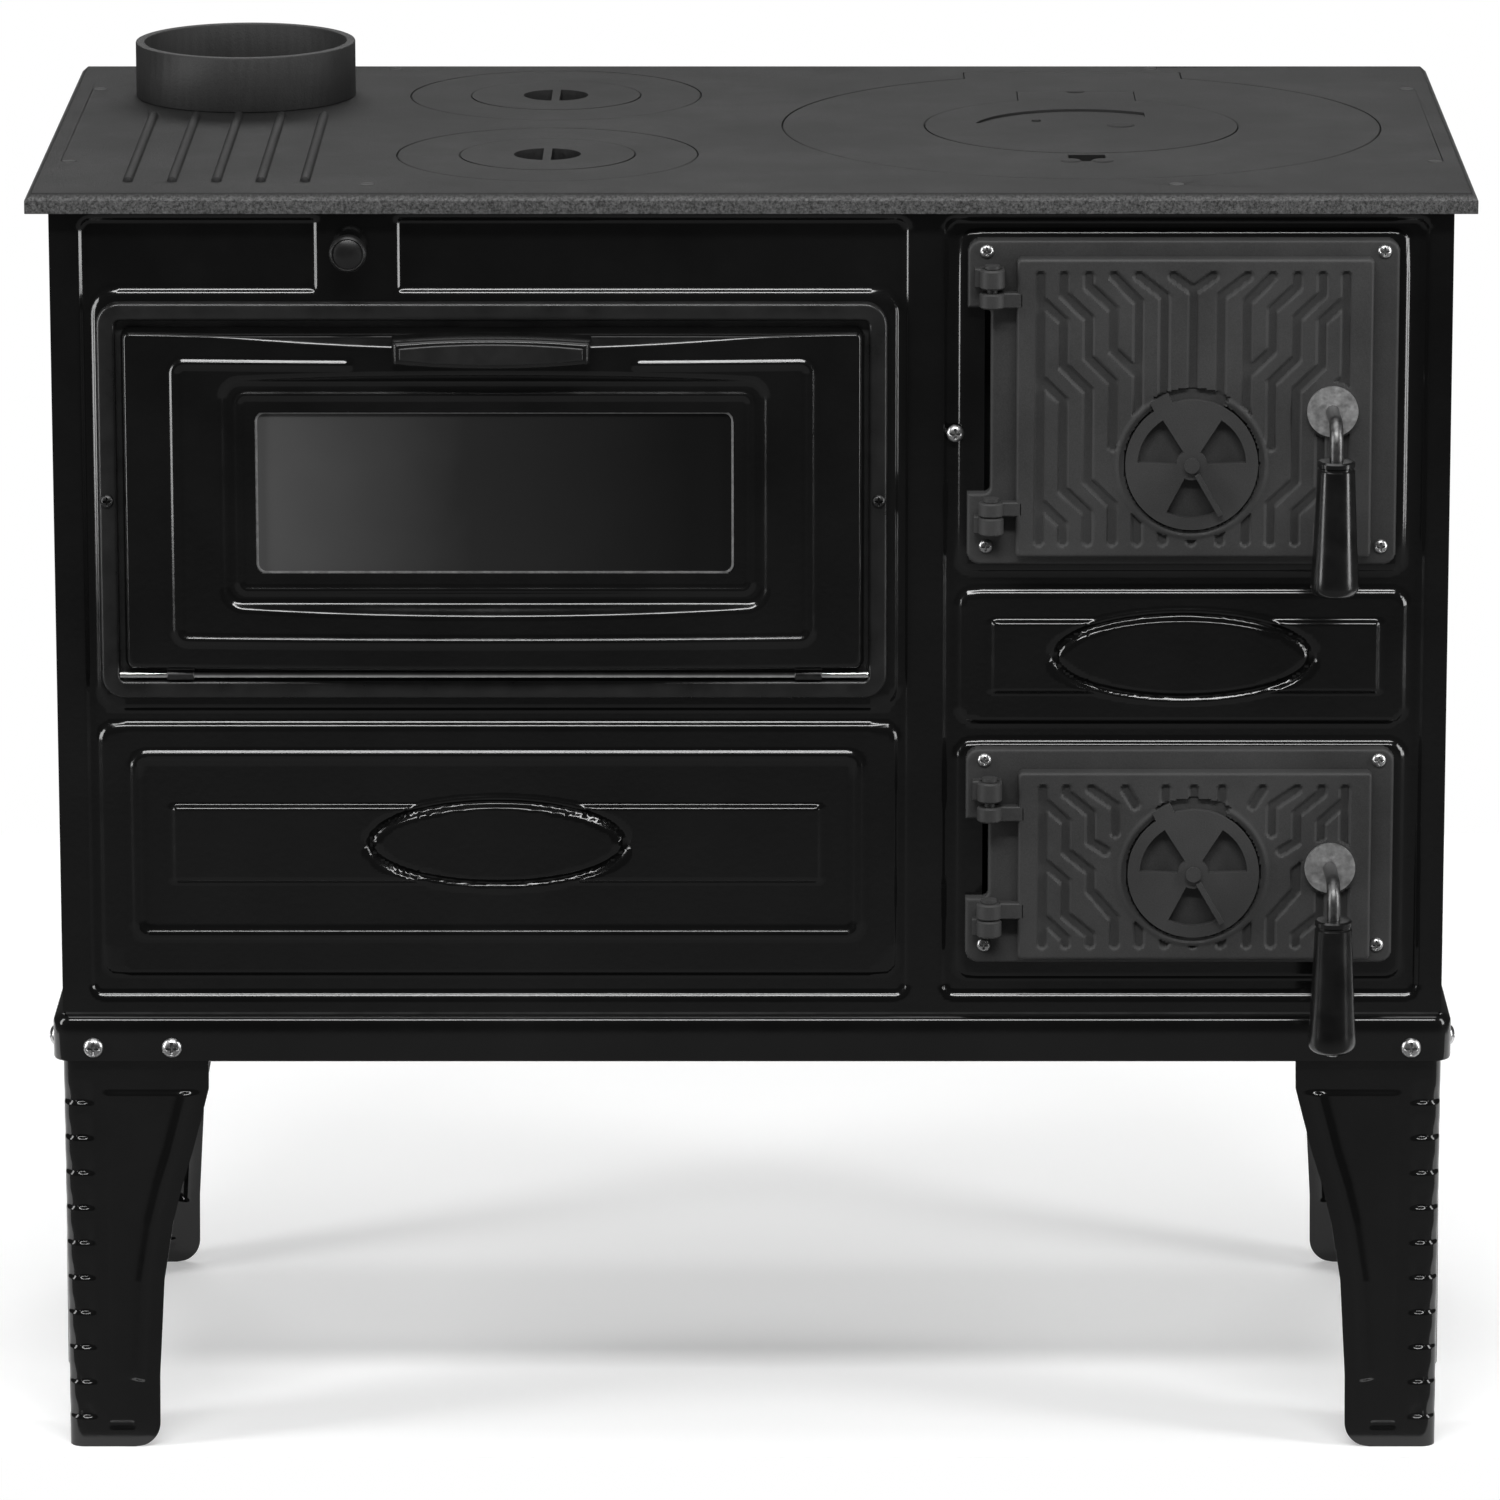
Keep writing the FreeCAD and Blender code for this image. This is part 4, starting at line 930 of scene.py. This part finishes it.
def hinge_block(name, ends, across, near, far, inset, body):
    """A cast block beside a drum, whose front is set back at its two ends."""
    low, high = ends
    rows = [
        [(x, near + step, z) for x in across]
        for z, step in ((low, inset), (low + inset, 0.0), (high - inset, 0.0), (high, inset))
    ]
    inner = [[(x, far, z) for x, _, z in row] for row in rows]
    shell(name, rows, inner, IRON, body)


def domed_heads(name, node, heads, material):
    """Pan heads with a cross recess. heads holds (centre, outward direction, radius, shank length)."""
    points, faces = [], []
    rings, spokes = 15, 48
    for centre, out, radius, shank in heads:
        out = Vector(out)
        side = out.orthogonal().normalized() if abs(out.z) > 0.5 else Vector((0, 0, 1)).cross(out)
        other = out.cross(side)
        first = len(points)
        for k in range(rings + 1):
            part = k / rings
            for m in range(spokes):
                turn = 2 * math.pi * m / spokes
                a, b = part * math.cos(turn), part * math.sin(turn)
                lift = 0.62 * math.sqrt(max(0.0, 1.0 - 0.97 * part**2)) * radius
                cross = min(max((0.13 - min(abs(a), abs(b))) / 0.05, 0.0), 1.0)
                cross *= min(max((0.62 - max(abs(a), abs(b))) / 0.12, 0.0), 1.0)
                lift -= 0.42 * radius * cross
                spoke = side * (a * radius) + other * (b * radius)
                points.append(tuple(Vector(centre) + spoke + out * lift))
        for reach, depth in ((1.0, 0.0), (0.45, 0.0), (0.45, -shank), (0.02, -shank)):
            for m in range(spokes):
                turn = 2 * math.pi * m / spokes
                spoke = side * math.cos(turn) + other * math.sin(turn)
                points.append(tuple(Vector(centre) + spoke * (radius * reach) + out * depth))
        for k in range(rings + 4):
            for m in range(spokes):
                n = (m + 1) % spokes
                a = first + k * spokes
                faces.append((a + m, a + n, a + spokes + n, a + spokes + m))
    piece = mesh_object(name, points, faces, material, "root", 40.0)
    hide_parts(node)


def screw_heads():
    """All the pan-head screws and bolts that show."""
    front = [((DIVIDER_SCREW[0], SHEET_Y, DIVIDER_SCREW[1]), (0, -1, 0), 5.2 * MM, 5 * MM)]
    for low, high in ((FIREBOX_LOW, FIREBOX_HIGH), (ASH_LOW, ASH_HIGH)):
        for x in (low.x + 11 * MM, high.x - 9 * MM):
            for z in (low.z + 11.3 * MM, high.z - 6.7 * MM):
                front.append(((x, IRON_FACE, z), (0, -1, 0), 4.2 * MM, 12 * MM))
    domed_heads("front_screw_heads", "front_screws", front, ZINC)
    band = [((x, BAND_LOW.y, BAND_SCREW_Z), (0, -1, 0), 4.0 * MM, 5 * MM)
            for x in (BAND_LOW.x + 5 * MM, BAND_HIGH.x - 5 * MM)]
    domed_heads("oven_band_screws", "oven_frame_screws", band, DARK_STEEL)
    bolts = []
    for side in (-1, 1):
        for x in BOLT_X:
            for y, out in ((RIM_LOW.y, -1), (RIM_HIGH.y, 1)):
                bolts.append(((side * x, y, BOLT_Z), (0, out, 0), 6.1 * MM, 14 * MM))
        for y in BOLT_Y:
            bolts.append(((side * RIM_HIGH.x, y, BOLT_Z), (side, 0, 0), 6.1 * MM, 14 * MM))
    domed_heads("leg_bolt_heads", "leg_bolts", bolts, ZINC)


def base_rim():
    """The rim of angle section, its upper edge rolled over and its corners full."""
    rect = (RIM_LOW.x, RIM_HIGH.x, RIM_LOW.y, RIM_HIGH.y)
    low, top = RIM_LOW.z, RIM_HIGH.z
    roll, wall, flange = 6 * MM, 5.5 * MM, 22 * MM
    section = [(-wall, low), (-1.6 * MM, low), (-0.5 * MM, low + 0.5 * MM), (0.0, low + 1.6 * MM)]
    for k in range(7):
        turn = math.radians(15.0 * k)
        section.append((-roll * (1 - math.cos(turn)), top - roll * (1 - math.sin(turn))))
    section += [(-flange, top), (-flange, top - wall), (-wall, top - wall)]
    rim = swept_ring("base_rim", rect, 12 * MM, section, level, ENAMEL, "root")
    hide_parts("base_frame")


LEG_WIDTHS = ((0.0, 55.0), (45.0, 55.5), (105.0, 59.0), (142.0, 65.0), (166.0, 71.0), (185.0, 77.0),
              (204.0, 82.0), (225.0, 87.4), (265.0, 88.0))
LEG_ROUND = 9.0
LEG_TOP = 265.0
LEG_SHEET = 1.8
FOOT_ROUND = 15.0
DIMPLE_LOW = 24.0
DIMPLE_PITCH = 21.9
DIMPLES = 10


def leg_width(z, less):
    """Width of a leg's flange at a height, with the foot's inner corner rounded off."""
    heights, widths = zip(*LEG_WIDTHS)
    wide = float(np.interp(z, heights, widths)) - less
    if z < FOOT_ROUND:
        wide -= FOOT_ROUND - math.sqrt(FOOT_ROUND**2 - (FOOT_ROUND - z) ** 2)
    return wide


def smooth(t):
    t = min(max(t, 0.0), 1.0)
    return t * t * (3.0 - 2.0 * t)


def leg_lift(s, wide, z):
    """How far a flange stands out at s from the corner: dimples, a ridge, a raised field, a foot slot."""
    lift = 0.0
    nearest = round((z - DIMPLE_LOW) / DIMPLE_PITCH)
    if 0 <= nearest < DIMPLES:
        off = z - DIMPLE_LOW - nearest * DIMPLE_PITCH
        across = min(max((17.0 - s) / 4.0, 0.0), 1.0) * (0.12 + 0.88 * min(s / 7.0, 1.0))
        fall = smooth((8.0 - off) / 11.0)
        climb = smooth((off + 6.5) / 2.6)
        lift -= 2.0 * across * fall * climb
    edge = wide - s
    top = smooth((224.0 - z) / 3.2)
    foot = smooth((z - 38.0 - 3.0 * math.cos((s - 38.0) / 9.0)) / 4.0)
    ridge_here = math.exp(-((edge - 12.0) / 3.4) ** 2)
    field = smooth((edge - 12.0) / 3.0) * smooth((s - 25.0) / 3.0)
    lift += top * foot * (2.4 * ridge_here + 1.0 * field)
    lift -= smooth((2.6 - abs(z - 14.0)) / 1.4) * smooth((s - 24.0) / 3.0) * smooth((40.0 - s) / 3.0)
    return lift


def on_flange(part, wide, z, depth):
    s = LEG_ROUND + (wide - LEG_ROUND) * part
    return s, leg_lift(s, wide, z) - depth


def leg_grid(depth):
    """Rows over a front-left leg, corner at the origin, X to the right and Y to the back."""
    rows = []
    marks = [(0.0, 20.0, 1.0), (218.0, 226.0, 0.6)]
    for k in range(DIMPLES):
        dimple = DIMPLE_LOW + k * DIMPLE_PITCH
        marks.append((dimple - 7.5, dimple - 2.5, 0.55))
    marks = [(low * MM, high * MM, pitch * MM) for low, high, pitch in marks]
    for z in lines(0.0, LEG_TOP * MM, marks, 2.2 * MM) / MM:
        front_wide, side_wide = leg_width(z, 0.0), leg_width(z, 10.0)
        row = []
        for part in np.linspace(1.0, 0.0, 46):
            s, out = on_flange(part, front_wide, z, depth)
            row.append((s, -out, z))
        for k in range(1, 10):
            turn = math.radians(10.0 * k)
            arc = LEG_ROUND * math.radians(45.0 - abs(45.0 - 10.0 * k))
            out = leg_lift(arc * 0.5, front_wide, z) - depth
            reach = LEG_ROUND + out
            row.append((LEG_ROUND - reach * math.sin(turn), LEG_ROUND - reach * math.cos(turn), z))
        for part in np.linspace(0.0, 1.0, 34):
            s, out = on_flange(part, side_wide, z, depth)
            row.append((-out, s, z))
        rows.append(row)
    return rows


def legs():
    """Four pressed legs, mirrored from one grid."""
    outer, inner = leg_grid(0.0), leg_grid(LEG_SHEET)
    for name, side, end in (
        ("front_left", -1, -1), ("front_right", 1, -1), ("rear_left", -1, 1), ("rear_right", 1, 1),
    ):
        low, high = span("leg_" + name)
        corner_x = low.x if side < 0 else high.x
        corner_y = low.y if end < 0 else high.y

        def placed(grid):
            return [
                [(corner_x - side * x * MM, corner_y - end * y * MM, z * MM) for x, y, z in row]
                for row in grid
            ]

        leg = shell(
            "pressed_leg_" + name, placed(outer), placed(inner), ENAMEL, "root", 50.0
        )
        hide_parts("leg_" + name)


def side_sheet(name, node, side):
    """An outer side sheet with one large pressed field and a bead round it; side is -1 or 1."""
    low, high = span(node)
    rect = (low.y, high.y, low.z, high.z)
    field, bead = grown(rect, -38 * MM), grown(rect, -62 * MM)
    marks = rect_marks((field, 9, 1.3), (bead, 9, 1.3))
    y, z = np.meshgrid(*grid_lines(rect, marks, 25 * MM))
    press = rise(box_distance(y, z, field, 18 * MM), 6 * MM)
    press -= 0.7 * ridge(box_distance(y, z, bead, 12 * MM), 9 * MM)
    face = high.x if side > 0 else low.x
    outer, inner = [
        [
            [(face + side * (offset - 1.6 * MM * p), a, b) for a, b, p in zip(row_y, row_z, row_press)]
            for row_y, row_z, row_press in zip(y, z, press)
        ]
        for offset in (0.0, -1.2 * MM)
    ]
    piece = shell(name, outer, inner, ENAMEL, "root")
    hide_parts(node)


def window_trim():
    """The bright ground edge of the glass in its opening."""
    front = -GLASS_LOW.y
    section = [(0.0, front - 0.4 * MM), (0.0, front + 0.5 * MM), (-1.3 * MM, front + 0.5 * MM),
               (-1.3 * MM, front - 0.4 * MM)]
    swept_ring("window_trim", WINDOW, 6 * MM, section, upright, WASHER_ZINC, "oven_door")


def hob_lumps():
    """Small cast lumps and a stud round the large lid's lifting notch."""
    for name, body, x, y, radius, tall in (
        ("lid_stud", "large_lid", 173.0, 53.0, 3.0, 1.6),
        ("lid_lump", "large_lid", 224.0, 38.0, 9.0, 1.3),
        ("ring_lump_left", "large_ring", 190.0, -84.0, 6.5, 1.1),
        ("ring_lump_right", "large_ring", 209.0, -84.0, 7.0, 1.1),
    ):
        profile = []
        for k in range(9):
            turn = math.radians(90.0 * k / 8)
            wave = 1.0 + 0.05 * math.sin(5.0 * k)
            profile.append((max(radius * math.cos(turn) * wave, 0.05), tall * math.sin(turn) - 0.1))
        lathe("hob_" + name, profile, (x * MM, y * MM, HOB_TOP), (0, 0, 1), IRON_HOB, body, 32)


def main_camera():
    camera = bpy.data.objects.new("camera", bpy.data.cameras.new("camera"))
    bpy.context.scene.collection.objects.link(camera)
    camera.data.sensor_width = 36.0
    camera.data.lens = 217.0
    camera.data.shift_x = -0.0265
    camera.data.shift_y = -0.1
    camera.data.clip_end = 50.0
    camera.location = (0.0225, -5.393, 1.729)
    camera.rotation_euler = (math.radians(90.0 - 12.999), 0.0, 0.0)
    bpy.context.scene.camera = camera


def area_light(name, place, aim, size, size_y, power):
    light = bpy.data.lights.new(name, "AREA")
    light.shape = "RECTANGLE"
    light.size = size
    light.size_y = size_y
    light.energy = power
    lamp = bpy.data.objects.new(name, light)
    lamp.location = place
    lamp.rotation_euler = (Vector(aim) - Vector(place)).to_track_quat("-Z", "Y").to_euler()
    bpy.context.scene.collection.objects.link(lamp)


def studio():
    """A pale floor, a white surround for the camera and soft lamps above and at the sides."""
    scene = bpy.context.scene
    scene.view_settings.view_transform = "Standard"
    world = bpy.data.worlds.new("studio")
    scene.world = world
    world.use_nodes = True
    tree = world.node_tree
    seen = tree.nodes["Background"]
    seen.inputs["Color"].default_value = WHITE
    lit = tree.nodes.new("ShaderNodeBackground")
    horizon = tree.nodes.new("ShaderNodeMapRange")
    horizon.interpolation_type = "SMOOTHSTEP"
    for socket, value in (("From Min", -0.20), ("From Max", -0.285), ("To Min", 0.05), ("To Max", 0.24)):
        horizon.inputs[socket].default_value = value
    tree.links.new(axes(tree, "Generated")["Z"], horizon.inputs["Value"])
    tree.links.new(horizon.outputs["Result"], lit.inputs["Strength"])
    lit.inputs["Color"].default_value = WHITE
    path = tree.nodes.new("ShaderNodeLightPath")
    mix = tree.nodes.new("ShaderNodeMixShader")
    tree.links.new(path.outputs["Is Camera Ray"], mix.inputs["Fac"])
    tree.links.new(lit.outputs["Background"], mix.inputs[1])
    tree.links.new(seen.outputs["Background"], mix.inputs[2])
    tree.links.new(mix.outputs["Shader"], tree.nodes["World Output"].inputs["Surface"])

    mesh = bpy.data.meshes.new("floor")
    half, near, far = 1.3, -0.20, 1.3
    corners = [(-half, near, 0), (half, near, 0), (half, far, 0), (-half, far, 0)]
    mesh.from_pydata(corners, [], [(0, 1, 2, 3)])
    floor = bpy.data.objects.new("floor", mesh)
    scene.collection.objects.link(floor)
    material, _, shader = new_material("floor")
    shader.inputs["Base Color"].default_value = (0.86, 0.86, 0.86, 1.0)
    shader.inputs["Roughness"].default_value = 0.9
    shader.inputs["Emission Color"].default_value = WHITE
    shader.inputs["Emission Strength"].default_value = 0.32
    mesh.materials.append(material)

    area_light("top_light", (0.0, 0.1, 3.2), (0.0, 0.0, 0.5), 2.6, 1.6, 34.0)
    area_light("front_top_light", (0.0, -2.2, 3.0), (0.0, 0.0, 0.6), 3.0, 0.4, 75.0)
    area_light("left_strip", (-2.4, -0.9, 1.1), (0.0, -0.1, 0.5), 0.5, 2.2, 32.0)
    area_light("right_strip", (2.4, -0.9, 1.1), (0.0, -0.1, 0.5), 0.5, 2.2, 32.0)
    area_light("back_light", (0.0, 2.4, 2.6), (0.0, 0.9, 0.0), 3.0, 1.2, 34.0)


main_camera()
studio()

MATERIAL_OF_SLOT = {
    "black_enamel": ENAMEL,
    "cast_iron": IRON,
    "zinc_steel": ZINC,
    "bright_wire": WIRE,
    "dark_screw": DARK_STEEL,
    "sheet_steel": SHEET_STEEL,
    "black_plastic": BAKELITE,
    "dark_glass": GLASS,
    "rope_seal": SEAL,
}
for entry in frame["record"]["subparts"]:
    paint(entry["node"], MATERIAL_OF_SLOT[entry["material_slot"]])

for node in ("firebox_side_liners", "firebox_back_liner", "grate_support", "fire_grate"):
    paint(node, IRON_DARK)

HOB_PIECES = [place + part for place in ("front", "rear", "large") for part in ("_hob_ring", "_hob_lid")]
for node in ["cooking_plate"] + HOB_PIECES:
    paint(node, IRON_HOB)
paint("flue_collar", IRON_FLUE)

for door in ("firebox", "ash"):
    paint(door + "_latch_rod", LATCH_STEEL)
    paint(door + "_latch_washer", WASHER_ZINC)

for node in HOB_PIECES:
    bevel(frame["nodes"][node], 1.2 * MM)
for node in ("cooking_plate", "flue_collar", "firebox_air_disc", "ash_air_disc",
             "firebox_disc_rivet", "ash_disc_rivet"):
    bevel(frame["nodes"][node], 0.8 * MM)

front_sheet()
oven_band()
oven_door()
oven_knuckles()
oven_handle()
damper_knob()
door_leaf("firebox", FIREBOX_GROOVES)
door_leaf("ash", ASH_GROOVES)
latch_grip("firebox")
latch_grip("ash")
screw_heads()
base_rim()
legs()
iron_frame("firebox")
iron_frame("ash")
side_sheet("left_side_sheet", "left_side_panel", -1)
side_sheet("right_side_sheet", "right_side_panel", 1)
window_trim()
hob_lumps()
